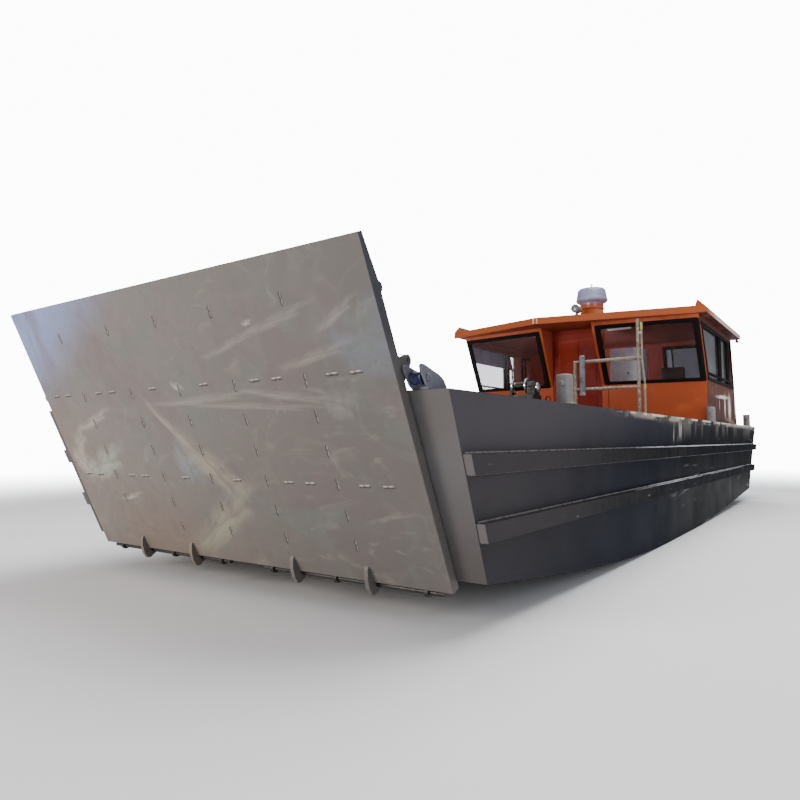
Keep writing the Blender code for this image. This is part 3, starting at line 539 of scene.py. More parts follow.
# Orange enamel of the recessed middle wall and door, a darker copy of the wall paint as painted shade of the
# recess.
MIDDLE_PAINT = Finish("shaded_orange_enamel", "#7c210b", (
    tint("#6a120a", 0.8, Limit(Y, 0.03, 0.045)),
    Layer("#7d2a14", 500, 0.5, 0.7, 0.5, swirl=1.0, seed=2.0),
    # Painted light: lighter along the top, under the eave.
    tint("#9c3c2b", 1.0, Limit(Z, 2.8, 3.1)),
), Grain(0.5, 0.65, 20, 0.2, 4), specular=0.15, slot="orange")
ROOF_PAINT = Finish("sunlit_orange_enamel", "#9e512d", (
    # Painted shade: undersides redder, darker under the cabin ceiling and dark maroon under the side eaves.
    tint("#a04a3a", 0.95, DOWN_FACE),
    tint("#8a4a42", 1.0, DOWN_FACE, Limit(X, -1.75, -1.8)),
    tint("#39110d", 1.0, DOWN_FACE, Limit(Y, 2.07, 2.08)),
    tint("#39110d", 1.0, DOWN_FACE, Limit(Y, -2.07, -2.08)),
    tint("#5d3a2c", 0.9, PORT_FACE, Limit(Y, -1.9, -1.95)),
    Layer("#a65324", 600, 0.45, 0.7, 0.6, swirl=1.0, seed=2.0),
    Layer("#b06a3e", 260, 0.6, 0.75, 0.4, stretch=(1, 1, 0.4), seed=5.0),
    Layer("#7a5f50", 300, 0.5, 0.68, 0.5, seed=9.0, limits=(UP_FACE,)),
    # Painted highlight: a pale strip along the port edge.
    tint("#d9c6bb", 0.8, PORT_FACE, Limit(X, -1.4, -2.8)),
), Grain(0.5, 0.65, 24, 0.2, 4), specular=0.15, slot="orange")
GASKET = Finish("black_window_rubber", "#0e0b0b", (Layer("#221d1b", 60, 0.55, 0.7, 0.6),),
                Grain(0.55, 0.7, 4, 0.2, 2), specular=0.12, slot="black")

# Toughened tinted glass: clear enough to show the cabin, with dust haze and a hard gloss.
GLASS = Finish("tinted_safety_glass", "#5c4642", (Layer("#9a8f8c", 500, 0.5, 0.8, 0.3, swirl=1.0),),
               Grain(0.02, 0.05, 300, 0.05, 1), specular=0.7, alpha=0.11)

# The side and rear panes carry a dense film, pale at the sides and slate at the rear.
SIDE_GLASS = Finish("pale_film_glass", "#434247", (
    Layer("#403f45", 500, 0.45, 0.7, 0.6, swirl=1.0),
    # Painted shade: the side panes darker towards the top, lighter low down.
    tint("#77787c", 0.6, Limit(Z, 2.75, 2.35)),
), Grain(0.05, 0.12, 300, 0.05, 1), specular=0.4, alpha=0.62)
SUN_FILM = Finish("dark_sun_film", "#8f94a3", (
    Layer("#6d7183", 400, 0.45, 0.7, 0.6, swirl=1.0),
    tint("#b9604f", 0.95, Limit(X, -3.45, -3.5)),
), Grain(0.1, 0.2, 300, 0.05, 1), alpha=0.93, slot="glass")
REAR_GLASS = Finish("slate_film_glass", "#58687f", (
    Layer("#6b7482", 400, 0.5, 0.8, 0.5, swirl=1.0),
    tint("#8da2b8", 0.8, Limit(Y, 0.5, 0.6), Limit(Y, 1.01, 1.0)),
), Grain(0.05, 0.12, 300, 0.05, 1), specular=0.7, alpha=0.93)
GEL_COAT = Finish("pale_lilac_gel_coat", "#858ba8", (
    Layer("#77768a", 200, 0.45, 0.7, 0.6),
    Layer("#a3a4b6", 260, 0.55, 0.75, 0.5, seed=3.0),
    tint("#9e512d", 1.0, Limit(Z, 3.572, 3.552)),
), Grain(0.25, 0.4, 40, 0.1, 3), coat=0.3, slot="white")
CHROME = Finish("polished_steel", "#e6e7e9", (Layer("#a3a2a4", 60, 0.55, 0.7, 0.5),),
                Grain(0.16, 0.32, 10, 0.1, 2), metallic=1.0, slot="steel")
WIRE = Finish("greased_wire_rope", "#4a4744", (Layer("#232120", 14, 0.45, 0.6, 0.8),),
              Grain(0.3, 0.5, 3, 0.6, 1), metallic=1.0, slot="steel")
BLUE_PAINT = Finish("dark_blue_machine_paint", "#1b243f", (Layer("#4d566c", 40, 0.62, 0.72, 0.6),),
                    Grain(0.3, 0.45, 8, 0.2, 4), specular=0.25)
BRONZE = Finish("cast_bronze", "#a9773c", (Layer("#6f6a45", 60, 0.5, 0.7, 0.6),),
                Grain(0.3, 0.5, 5, 0.4, 3), metallic=1.0, slot="bronze")
CABINET_PAINT = Finish("light_grey_cabinet_paint", "#eef6ff", (Layer("#c3c8d2", 300, 0.45, 0.7, 0.6),),
                       Grain(0.35, 0.5, 6, 0.15, 5), slot="cream")
ENGINE_PAINT = Finish("engine_enamel", "#8c8f92", (Layer("#4a4744", 60, 0.6, 0.75, 0.6),),
                      Grain(0.4, 0.6, 8, 0.4, 8))
BLACK_ABS = Finish("textured_black_abs", "#161617", (Layer("#2a2a2b", 20, 0.5, 0.7, 0.5),),
                   Grain(0.45, 0.6, 2, 0.3, 3), slot="black")
VINYL = Finish("black_seat_vinyl", "#1b1a1b", (Layer("#333032", 30, 0.55, 0.7, 0.5),),
               Grain(0.4, 0.55, 3, 0.4, 3), slot="black")
LENS = Finish("clear_lamp_lens", "#74767e", (Layer("#6f727a", 30, 0.5, 0.7, 0.5),),
              Grain(0.05, 0.12, 8, 0.2, 2), coat=0.5, slot="white")
# Painted highlight: a faint glow on the cabin light covers stands for their bright strips of reflected light.
LAMP_COVER_GLINT = Finish("lit_lamp_cover", "#fff4e6", (Layer("#e3dccf", 60, 0.5, 0.7, 0.4),),
                    Grain(0.3, 0.45, 8, 0.2, 2), glow=0.1, slot="white")
YELLOW = Finish("yellow_marker_tape", "#aca95a", (Layer("#7d7a35", 30, 0.5, 0.65, 0.7),),
                Grain(0.4, 0.55, 5, 0.3, 2))
ZINC = Finish("cast_zinc", "#9b9da0", (Layer("#c9c6bf", 25, 0.5, 0.65, 0.7),),
              Grain(0.5, 0.7, 5, 0.8, 4), metallic=0.7, slot="steel")


# Mesh work
def put(name: str, data: bpy.types.ID) -> bpy.types.Object:
    """Add an object to the scene.

    Args:
        name: Its name.
        data: Its mesh, light or camera.

    Returns:
        The object.
    """
    item = bpy.data.objects.new(name, data)
    bpy.context.scene.collection.objects.link(item)
    return item


def box_place(low: Sequence[float], high: Sequence[float]) -> Matrix:
    """Matrix that makes a cube of 1 m into the box between two corners."""
    first, last = Vector(low), Vector(high)
    return Matrix.Translation((first + last) / 2) @ Matrix.Diagonal((*(last - first), 1))


def aim(axis: Sequence[float]) -> Matrix:
    """Matrix that turns Z to an axis."""
    return Vector(axis).to_track_quat("Z", "Y").to_matrix().to_4x4()


def rim(u0: float, v0: float, u1: float, v1: float) -> tuple[Pair, ...]:
    """Corners of an upright rectangle, in order round it."""
    return ((u0, v0), (u1, v0), (u1, v1), (u0, v1))


def both(stem: str, end: str = "") -> list[str]:
    """Names of a piece on both sides."""
    return [stem + side.word + end for side in Side]


class Workpiece:
    """A mesh in the making, put together from formed bits of metal, rubber or moulding."""

    def __init__(self, matrix: Matrix | None = None) -> None:
        """Start an empty workpiece, in a frame such as the tilted ramp's."""
        self.work = bmesh.new()
        self.frame = matrix or Matrix.Identity(4)

    def _take(self, bit: bmesh.types.BMesh, matrix: Matrix) -> None:
        """Move a finished bit into the workpiece.

        Args:
            bit: The bit, which is used up.
            matrix: Where it goes.
        """
        bmesh.ops.transform(bit, matrix=self.frame @ matrix, verts=bit.verts)
        bmesh.ops.recalc_face_normals(bit, faces=bit.faces)
        mesh = bpy.data.meshes.new("bit")
        bit.to_mesh(mesh)
        bit.free()
        self.work.from_mesh(mesh)
        bpy.data.meshes.remove(mesh)

    @staticmethod
    def _soften(bit: bmesh.types.BMesh, edges: Iterable[bmesh.types.BMEdge], radius: float) -> None:
        """Round off edges of a bit."""
        bmesh.ops.bevel(bit, geom=list(edges), offset=radius, segments=2, profile=0.5, affect="EDGES",
                        material=-1)

    def block(self, low: Sequence[float], high: Sequence[float], edge: float,
              matrix: Matrix | None = None) -> None:
        """Add a block with rounded edges.

        Args:
            low: Lowest corner.
            high: Highest corner.
            edge: Radius of its edges.
            matrix: Turn or shift of the block.
        """
        bit = bmesh.new()
        bmesh.ops.create_cube(bit, size=1, matrix=box_place(low, high))
        self._soften(bit, bit.edges, min(edge, *((b - a) * 0.45 for a, b in zip(low, high))))
        self._take(bit, matrix or Matrix.Identity(4))

    def rod(self, start: Sequence[float], end: Sequence[float], radius: float, sides: int = 16,
            edge: float = 0.002) -> None:
        """Add a round bar between two points, with rounded rims.

        Args:
            start: Middle of one end.
            end: Middle of the other end.
            radius: Its radius.
            sides: Sides of the round.
            edge: Radius of its rims.
        """
        bit = bmesh.new()
        axis = Vector(end) - Vector(start)
        bmesh.ops.create_cone(bit, cap_ends=True, segments=sides, radius1=radius, radius2=radius,
                              depth=axis.length)
        rims = {e for f in bit.faces if len(f.verts) == sides for e in f.edges}
        self._soften(bit, rims, min(edge, radius * 0.4, axis.length * 0.4))
        self._take(bit, Matrix.Translation((Vector(start) + Vector(end)) / 2) @ aim(axis))

    def turned(self, profile: Sequence[Pair], centre: Sequence[float],
               axis: Sequence[float] = Z, sides: int = 40) -> None:
        """Add a form turned about an axis. An outline that starts off the axis is a closed ring.

        Args:
            profile: Radius and height of each point of its outline.
            centre: Point that heights are counted from.
            axis: Direction of the axis.
            sides: Steps of the turn.
        """
        bit = bmesh.new()
        points = [bit.verts.new((radius, 0, height)) for radius, height in profile]
        after = points[1:] + (points[:1] if profile[0][0] > 0 else [])
        edges = [bit.edges.new(pair) for pair in zip(points, after)]
        bmesh.ops.spin(bit, geom=points + edges, cent=(0, 0, 0), axis=Z, dvec=(0, 0, 0), angle=math.tau,
                       steps=sides, use_merge=True, use_duplicate=False)
        bmesh.ops.remove_doubles(bit, verts=bit.verts, dist=SAME_POINT)
        self._take(bit, Matrix.Translation(centre) @ aim(axis))

    def ring(self, radius: float, thick: float, centre: Sequence[float], axis: Sequence[float], sides: int,
             steps: int = 10) -> None:
        """Add a round bar that is bent to a closed ring.

        Args:
            radius: Radius of the ring.
            thick: Radius of the bar.
            centre: Middle of the ring.
            axis: Its axis.
            sides: Steps round it.
            steps: Sides of the bar.
        """
        angles = [math.tau * k / steps for k in range(steps)]
        outline = [(radius + thick * math.cos(a), thick * math.sin(a)) for a in angles]
        self.turned(outline, centre, axis, sides)

    def bolts(self, count: int, circle: float, foot: Sequence[float], high: float, radius: float) -> None:
        """Add hexagon bolt heads on a circle.

        Args:
            count: How many.
            circle: Radius of the circle.
            foot: Its middle.
            high: Height of a head.
            radius: Radius of a head.
        """
        for angle in (math.tau * turn / count for turn in range(count)):
            spot = Vector(foot) + circle * Vector((math.cos(angle), math.sin(angle), 0))
            self.rod(spot, spot + Vector((0, 0, high)), radius, 6, 0.001)

    def bead(self, centre: Sequence[float], size: Sequence[float], sides: int = 8) -> None:
        """Add a weld bead or button, a flattened ball.

        Args:
            centre: Its middle.
            size: Its half sizes.
            sides: Sides round it.
        """
        bit = bmesh.new()
        bmesh.ops.create_uvsphere(bit, u_segments=sides, v_segments=6, radius=1)
        self._take(bit, Matrix.Translation(centre) @ Matrix.Diagonal((*size, 1)))

    def ring_frame(self, outer: Sequence[Vector], inner: Sequence[Vector], depth: Vector,
                   radius: float, edge: float) -> None:
        """Add a flat frame with rounded corners, such as a window rubber.

        Args:
            outer: Four outer corners.
            inner: Four inner corners, in the same order.
            depth: How far and which way it stands out from its back.
            radius: Radius of its corners.
            edge: Radius of its front edges.
        """
        bit = bmesh.new()
        for corners in (outer, inner):
            points = [bit.verts.new(corner) for corner in corners]
            for pair in zip(points, points[1:] + points[:1]):
                bit.edges.new(pair)
        bmesh.ops.bevel(bit, geom=list(bit.verts), offset=radius, segments=4, profile=0.5,
                        affect="VERTICES", material=-1)
        made = bmesh.ops.bridge_loops(bit, edges=list(bit.edges))
        grown = bmesh.ops.extrude_face_region(bit, geom=made["faces"])["geom"]
        bmesh.ops.translate(bit, vec=depth, verts=[v for v in grown if isinstance(v, bmesh.types.BMVert)])
        front = [f for f in grown if isinstance(f, bmesh.types.BMFace)]
        rims = {e for f in front for e in f.edges if any(g not in front for g in e.link_faces)}
        self._soften(bit, rims, edge)
        self._take(bit, Matrix.Identity(4))

    def cushion(self, low: Sequence[float], high: Sequence[float], crown: float) -> None:
        """Add a crowned pad whose sides pull in between its corners.

        Args:
            low: Lowest corner.
            high: Highest corner.
            crown: How far its broad faces swell.
        """
        bit = bmesh.new()
        size = Vector(high) - Vector(low)
        bmesh.ops.create_cube(bit, size=1)
        bmesh.ops.subdivide_edges(bit, edges=list(bit.edges), cuts=9, use_grid_fill=True)
        thin = min(range(3), key=lambda k: size[k])
        wide = [k for k in range(3) if k != thin]
        for vertex in bit.verts:
            u, v = (2 * vertex.co[k] for k in wide)
            swell = (1 - u ** 4) * (1 - v ** 4)
            vertex.co[thin] *= (size[thin] - 2 * crown * (1 - swell)) / size[thin]
            for k, other in zip(wide, (v, u)):
                vertex.co[k] *= 1 - 0.03 * (1 - other ** 2)
        bmesh.ops.smooth_vert(bit, verts=bit.verts, factor=0.5, use_axis_x=True, use_axis_y=True,
                              use_axis_z=True)
        self._take(bit, box_place(low, high))

    def done(self, name: str, finish: Finish, body: str = "hull", slot: str = "",
             stands_for: str = "") -> bpy.types.Object:
        """Close the workpiece and put it on its body.

        Args:
            name: Piece name.
            finish: Its finish.
            body: CAD body that it moves with.
            slot: The record's slot, where it isn't the finish's own; not used.
            stands_for: CAD node that it replaces.

        Returns:
            The finished piece.
        """
        mesh = bpy.data.meshes.new(name)
        self.work.to_mesh(mesh)
        self.work.free()
        mesh.polygons.foreach_set("use_smooth", [True] * len(mesh.polygons))
        mesh.set_sharp_from_angle(angle=SHARP_TURN)
        mesh.materials.append(finish.build())
        piece = put(name, mesh)
        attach(piece, body)
        if stands_for:
            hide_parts(stands_for)
        LOG.info("%s: %d faces on %s", name, len(mesh.polygons), body)
        return piece


@dataclass
class Assembly:
    """Part of the craft, which dresses its CAD nodes and adds pieces of its own."""

    frame: dict[str, Any]

    def dress(self, finish: Finish, *names: str) -> None:
        """Give CAD nodes their finish.

        Args:
            finish: The finish.
            *names: Node names.
        """
        look = finish.build()
        for name in names:
            node = self.frame["nodes"][name]
            if not node.material_slots:
                node.data.materials.append(look)
            for place in node.material_slots:
                place.material = look
            LOG.info("%s: %s", name, finish.name)


# Ramp
@dataclass
class Ramp(Assembly):
    """Bow ramp: plug welds on its face drawn with painted shadow lines and highlights, cleats on its inner
    side, and worn paint with a painted highlight and painted shade.
    """

    hinge: Point = (5.606, 0.0, 0.235)
    tilt: float = math.radians(24.97)
    face: float = 0.035
    weld_columns: Row = (-1.31, -0.62, -0.015, 0.59, 1.25)
    weld_rows: Row = (2.038, 1.515, 1.27, 1.027, 0.787, 0.551, 0.319)
    cross_rows: Row = (1.546, 0.787)
    cross_places: Row = (-1.75, -1.555, -1.07, -0.875, -0.33, 0.275, 0.805, 1.01, 1.48, 1.668)
    cleat_rows: Row = (0.3, 0.56, 0.82, 1.08, 1.34, 1.6, 1.86)
    cleat_half: float = 1.7

    def slope(self) -> Matrix:
        """Frame of the ramp: Z up its slope, X out of its face."""
        return Matrix.Translation(self.hinge) @ Matrix.Rotation(self.tilt, 4, "Y")

    def welds(self) -> None:
        """Plug welds that fix the face plate to the ribs behind it, each a dark bead as its painted shadow
        line with a pale bead beside it as its painted highlight.
        """
        beads, highlight_crests, face = Workpiece(self.slope()), Workpiece(self.slope()), self.face
        upright = [(column, row) for row in self.weld_rows for column in self.weld_columns]
        missing = (self.weld_columns[0], self.weld_rows[-1])
        for column, row in (spot for spot in upright if spot != missing):
            for drop, half in ((-0.02, 0.026), (0.024, 0.022)):
                y, z = column + drop * 0.05, row + drop
                beads.bead((face, y, z), (0.006, 0.0075, half))
                highlight_crests.bead((face, y + 0.0105, z), (0.007, 0.0045, half * 0.9))
        for column, row in ((column, row) for row in self.cross_rows for column in self.cross_places):
            for shift, half in ((-0.026, 0.026), (0.02, 0.03)):
                y, z = column + shift, row + shift * 0.05
                beads.bead((face, y, z - 0.009), (0.006, half * 1.1, 0.006))
                highlight_crests.bead((face, y, z + 0.002), (0.007, half * 0.85, 0.007))
        beads.done("ramp_plug_welds", WELD, "ramp")
        highlight_crests.done("ramp_weld_crests", WELD_CREST_HIGHLIGHT, "ramp")

    def cleats(self) -> None:
        """Flat cleats across the inner side, which is the road when the ramp is down."""
        bars, back = Workpiece(self.slope()), -self.face
        for row in self.cleat_rows:
            bars.block((back - 0.012, -self.cleat_half, row - 0.016),
                       (back + 0.002, self.cleat_half, row + 0.016), 0.003)
        bars.done("ramp_cleats", TUBE_PAINT, "ramp")

    def build(self) -> None:
        """Dress the ramp and its hinges."""
        self.dress(RAMP_PAINT, "ramp")
        self.dress(DARK_STEEL, *both("ramp_hinge_"))
        self.welds()
        self.cleats()


# Hull
@dataclass
class Hull(Assembly):
    """Hull and rub rails: weld lines with painted glints, deck covers, lashing pots, anodes and exhausts."""

    half_beam: float = 2.2
    sheer: float = 1.51
    flare: float = 0.043
    bow: Pair = (5.6, 0.33)
    bow_slope: float = math.tan(math.radians(24.2))
    stern: Pair = (-5.9, 0.24)
    stern_slope: float = 0.78 / 1.27
    rails: Row = (1.14, 0.722)
    rail_high: float = 0.122
    rail_proud: float = 0.06
    cargo_deck: float = 0.8503
    cover_y: float = 2.0
    covers: Row = (2.4, -0.6, -3.4)
    pots_x: Row = (1.3, 2.2, 3.1)
    pots_y: Row = (-1.5, -0.5, 0.5, 1.5)
    outlet: Pair = (1.6, 0.86)

    def side_y(self, z: float) -> float:
        """Half beam of the plating at one height."""
        return self.half_beam - self.flare * (self.sheer - z)

    def bow_x(self, z: float) -> float:
        """X of the bow face at one height."""
        return self.bow[0] + (z - self.bow[1]) * self.bow_slope

    def stern_x(self, z: float) -> float:
        """X of the transom at one height."""
        return self.stern[0] - (z - self.stern[1]) * self.stern_slope

    def rail_welds(self) -> None:
        """Weld lines above and below each rub rail, along its whole length, and a bead on its outer top edge,
        all with painted glints aft.
        """
        for side in Side:
            beads = Workpiece()
            for top in self.rails:
                for z, radius in ((top + 0.003, 0.009), (top - self.rail_high - 0.003, 0.005)):
                    y = side.value * (self.side_y(z) + 0.002)
                    beads.rod((self.stern_x(z) + 0.01, y, z), (self.bow_x(z) - 0.02, y, z), radius, 8, 0.001)
                # A bead along the rail's outer top edge, which carries a painted highlight line.
                y = side.value * (self.side_y(top) + self.rail_proud - 0.008)
                beads.rod((-4.6, y, top - 0.001), (2.6, y, top - 0.001), 0.006, 8)
            beads.done("rail_welds_" + side.word, RAIL_WELD_GLINT)

    def deck_fittings(self) -> None:
        """Bolted round covers over the side tanks, and lashing pots with cross bars in the cargo deck."""
        covers, pots, z = Workpiece(), Workpiece(), self.cargo_deck
        for x, y in ((x, side.value * self.cover_y) for side in Side for x in self.covers):
            covers.turned(((0.0, 0.012), (0.1, 0.012), (0.115, 0.008), (0.12, 0.0), (0.0, 0.0)),
                          (x, y, self.sheer + 0.0004))
            covers.bolts(8, 0.1, (x, y, self.sheer + 0.011), 0.008, 0.009)
        for x, y in ((x, y) for x in self.pots_x for y in self.pots_y):
            pots.turned(((0.05, 0.002), (0.055, 0.012), (0.075, 0.01), (0.08, 0.0), (0.05, 0.0)),
                        (x, y, z), sides=24)
            pots.rod((x - 0.055, y, z + 0.0087), (x + 0.055, y, z + 0.0087), 0.008, 10)
        covers.done("tank_covers", DECK_PAINT)
        pots.done("lashing_pots", DARK_STEEL)

    def transom_gear(self) -> None:
        """Exhaust outlets and zinc anodes on the transom."""
        outlets, anodes, (out_y, out_z) = Workpiece(), Workpiece(), self.outlet
        x, zinc_x = self.stern_x(out_z), self.stern_x(0.62)
        for side in Side:
            y = side.value * out_y
            outlets.turned(((0.045, 0.0), (0.06, 0.0), (0.06, 0.09), (0.045, 0.09)), (x + 0.03, y, out_z),
                           MINUS_X, 32)
            outlets.turned(((0.0, 0.0), (0.09, 0.0), (0.09, 0.012), (0.0, 0.012)), (x + 0.006, y, out_z),
                           MINUS_X, 32)
            for low, high in (side.span(inner, inner + 0.2) for inner in (0.35, 0.62)):
                anodes.block((zinc_x - 0.035, low, 0.585), (zinc_x + 0.02, high, 0.65), 0.012)
        outlets.done("exhaust_outlets", DARK_STEEL)
        anodes.done("hull_anodes", ZINC)

    def build(self) -> None:
        """Dress the hull and its rails."""
        self.dress(HULL_PAINT, "hull")
        self.dress(RAIL_PAINT, *both("rub_rail_", "_upper"), *both("rub_rail_", "_lower"))
        self.rail_welds()
        self.deck_fittings()
        self.transom_gear()


# Deck gear
@dataclass
class DeckGear(Assembly):
    """Bollards, guard rail, lead sheaves, winch and engine hatch."""

    deck: float = 1.1703
    side_deck: float = 1.5103
    bollards: tuple[tuple[str, float], ...] = (("fore", 4.2), ("mid", -2.05), ("aft", -5.97))
    bollard_y: float = 2.13
    bollard_radius: float = 0.066
    bollard_high: float = 0.24
    guard_x: float = 0.65
    winch: Point = (0.3, -0.04, 2.03)
    rope_turns: int = 14
    rope_pitch: float = 0.0118
    sheave: Point = (6.15, 2.015, 1.577)
    hatch_x: Pair = (-5.9, -5.25)

    def bollard(self, name: str, x: float, y: float) -> None:
        """Pipe post with a domed top, a weld collar and a cross pin, in place of its plain node.

        Args:
            name: Node name.
            x: Its place along the craft.
            y: Its place across the craft.
        """
        post, r, h = Workpiece(), self.bollard_radius, self.bollard_high
        post.turned(((0.0, 0.0), (r + 0.014, 0.0), (r + 0.014, 0.004), (r, 0.014), (r, h - 0.014),
                     (r - 0.003, h - 0.006), (r - 0.01, h - 0.001), (r - 0.016, h), (0.0, h)),
                    (x, y, self.side_deck), sides=48)
        z = self.side_deck + h * 0.68
        post.rod((x - 0.11, y, z), (x + 0.11, y, z), 0.021, 16, 0.006)
        post.done(name + "_post", DECK_PAINT, stands_for=name)

    def guard_fittings(self) -> None:
        """Foot plates, clamp bolts, socket sleeve and marker tape of the guard rail."""
        x, plates, tape, sleeve = self.guard_x, Workpiece(), Workpiece(), Workpiece()
        socket_x, socket_y = x + 0.03, 1.025
        for y in (0.917, 1.757):
            plates.turned(((0.03, 0.0), (0.062, 0.0), (0.062, 0.008), (0.036, 0.012), (0.03, 0.012)),
                          (x, y, self.deck), sides=24)
        for z in (2.6, 2.28):
            plates.rod((x + 0.014, 1.78, z), (x + 0.03, 1.78, z), 0.009, 6)
        for low, high, radius in ((2.352, 2.364, 0.03), (1.82, 1.86, 0.04)):
            plates.rod((socket_x, socket_y, low), (socket_x, socket_y, high), radius, 24, 0.004)
        sleeve.turned(((0.0364, 1.862), (0.038, 1.864), (0.038, 2.05), (0.0395, 2.055), (0.0395, 2.075),
                       (0.038, 2.08), (0.038, 2.346), (0.0364, 2.348)), (socket_x, socket_y, 0.0), sides=32)
        for y, low, high in ((1.802, 2.65, 2.738), (1.83, 1.89, 1.94)):
            tape.turned(((0.0146, low), (0.0158, low), (0.0158, high), (0.0146, high)), (x, y, 0.0),
                        sides=20)
        plates.done("guard_rail_fittings", TUBE_PAINT)
        sleeve.done("guard_rail_socket_sleeve", SOCKET_PAINT)
        tape.done("guard_rail_tape", YELLOW)

    def winch_drum(self) -> None:
        """Rope on the drum and its flanges, enamelled inside a polished rim."""
        rope, discs, rims, (x, y, z) = Workpiece(), Workpiece(), Workpiece(), self.winch
        profile = [(0.0595, -0.088)]
        for at in (-0.086 + turn * self.rope_pitch for turn in range(self.rope_turns)):
            profile += [(0.0625, at), (0.0665, at + 0.004), (0.0665, at + 0.0075), (0.0625, at + 0.0115)]
        rope.turned([*profile, (0.0595, 0.079)], (x, y, z), Y, 40)
        for at, way in ((-0.1201, -1), (0.1101, 1)):
            discs.turned(((0.03, 0.0), (0.09, 0.0), (0.094, 0.003), (0.09, 0.006), (0.06, 0.004),
                          (0.045, 0.007), (0.03, 0.007)), (x, y + at, z), (0, way, 0), 48)
        for at in (-0.1205, 0.0845):
            rims.turned(((0.1002, 0.0), (0.112, 0.001), (0.118, 0.006), (0.118, 0.02), (0.112, 0.025),
                         (0.1002, 0.026)), (x, y + at, z), Y, 64)
        rope.done("winch_rope", WIRE, "winch_drum")
        discs.done("winch_flange_faces", MACHINE_PAINT, "winch_drum", "steel")
        rims.done("winch_flange_rims", CHROME, "winch_drum")

    def winch_motor(self) -> None:
        """Cap, fins, bolts and filler of the winch's motor and frame."""
        cover, gear, (x, y, z) = Workpiece(), Workpiece(), self.winch
        cover.turned(((0.0, 0.0), (0.068, 0.0), (0.074, 0.006), (0.074, 0.02), (0.06, 0.032), (0.0, 0.036)),
                     (x, y + 0.2502, z - 0.03), Y)
        for low in (z - 0.17 + fin * 0.05 for fin in range(4)):
            gear.block((x - 0.088, y + 0.14, low), (x + 0.088, y + 0.256, low + 0.012), 0.003)
        for u, v in ((u, v) for u in (-0.12, 0.12) for v in (-0.13, 0.22)):
            gear.rod((x + u, y + v, z - 0.14), (x + u, y + v, z - 0.128), 0.014, 6)
        gear.bead((x, y - 0.145, z + 0.24), (0.018, 0.018, 0.018), 16)
        cover.done("winch_motor_cap", CHROME)
        gear.done("winch_fins", MACHINE_PAINT)

    def sheave_gear(self) -> None:
        """Pin heads and grease caps of the two lead sheaves."""
        heads, (x, y, z) = Workpiece(), self.sheave
        for side, way in ((side, way) for side in Side for way in (1, -1)):
            heads.turned(((0.0, 0.0), (0.024, 0.0), (0.024, 0.006), (0.018, 0.011), (0.0, 0.012)),
                         (x, side.value * y + way * 0.064, z), (0, way, 0), 24)
        heads.done("sheave_pin_heads", CHEEK_PAINT)

    def hatch_gear(self) -> None:
        """Grab handle, dogs and tread plate of the engine hatch."""
        lid, top, (x0, x1) = Workpiece(), self.deck + 0.04, self.hatch_x
        for y in (-0.09, 0.09):
            lid.rod((x0 + 0.1, y, top - 0.002), (x0 + 0.1, y, top + 0.045), 0.009, 12)
        lid.rod((x0 + 0.1, -0.099, top + 0.045), (x0 + 0.1, 0.099, top + 0.045), 0.009, 12, 0.004)
        for y in (-0.3, 0.3):
            lid.turned(((0.0, 0.0), (0.03, 0.0), (0.03, 0.01), (0.0, 0.014)), (x0 + 0.07, y, top), sides=20)
            lid.block((x0 + 0.03, y - 0.009, top + 0.01), (x0 + 0.11, y + 0.009, top + 0.022), 0.004)
        lid.block((x0 + 0.12, -0.28, top - 0.001), (x1 - 0.12, 0.28, top + 0.004), 0.002)
        lid.done("engine_hatch_fittings", DECK_PAINT, "engine_hatch")

    def build(self) -> None:
        """Dress the deck gear."""
        for side in Side:
            for place, x in self.bollards:
                self.bollard(f"bollard_{side.word}_{place}", x, side.value * self.bollard_y)
        self.dress(CHEEK_PAINT, *both("sheave_bracket_"))
        self.dress(BLUE_PAINT, *both("sheave_"))
        self.dress(TUBE_PAINT, "guard_rail")
        self.dress(MACHINE_PAINT, "winch_frame")
        self.dress(CHROME, "winch_drum")
        self.dress(DECK_PAINT, "engine_hatch")
        self.guard_fittings()
        self.winch_drum()
        self.winch_motor()
        self.sheave_gear()
        self.hatch_gear()


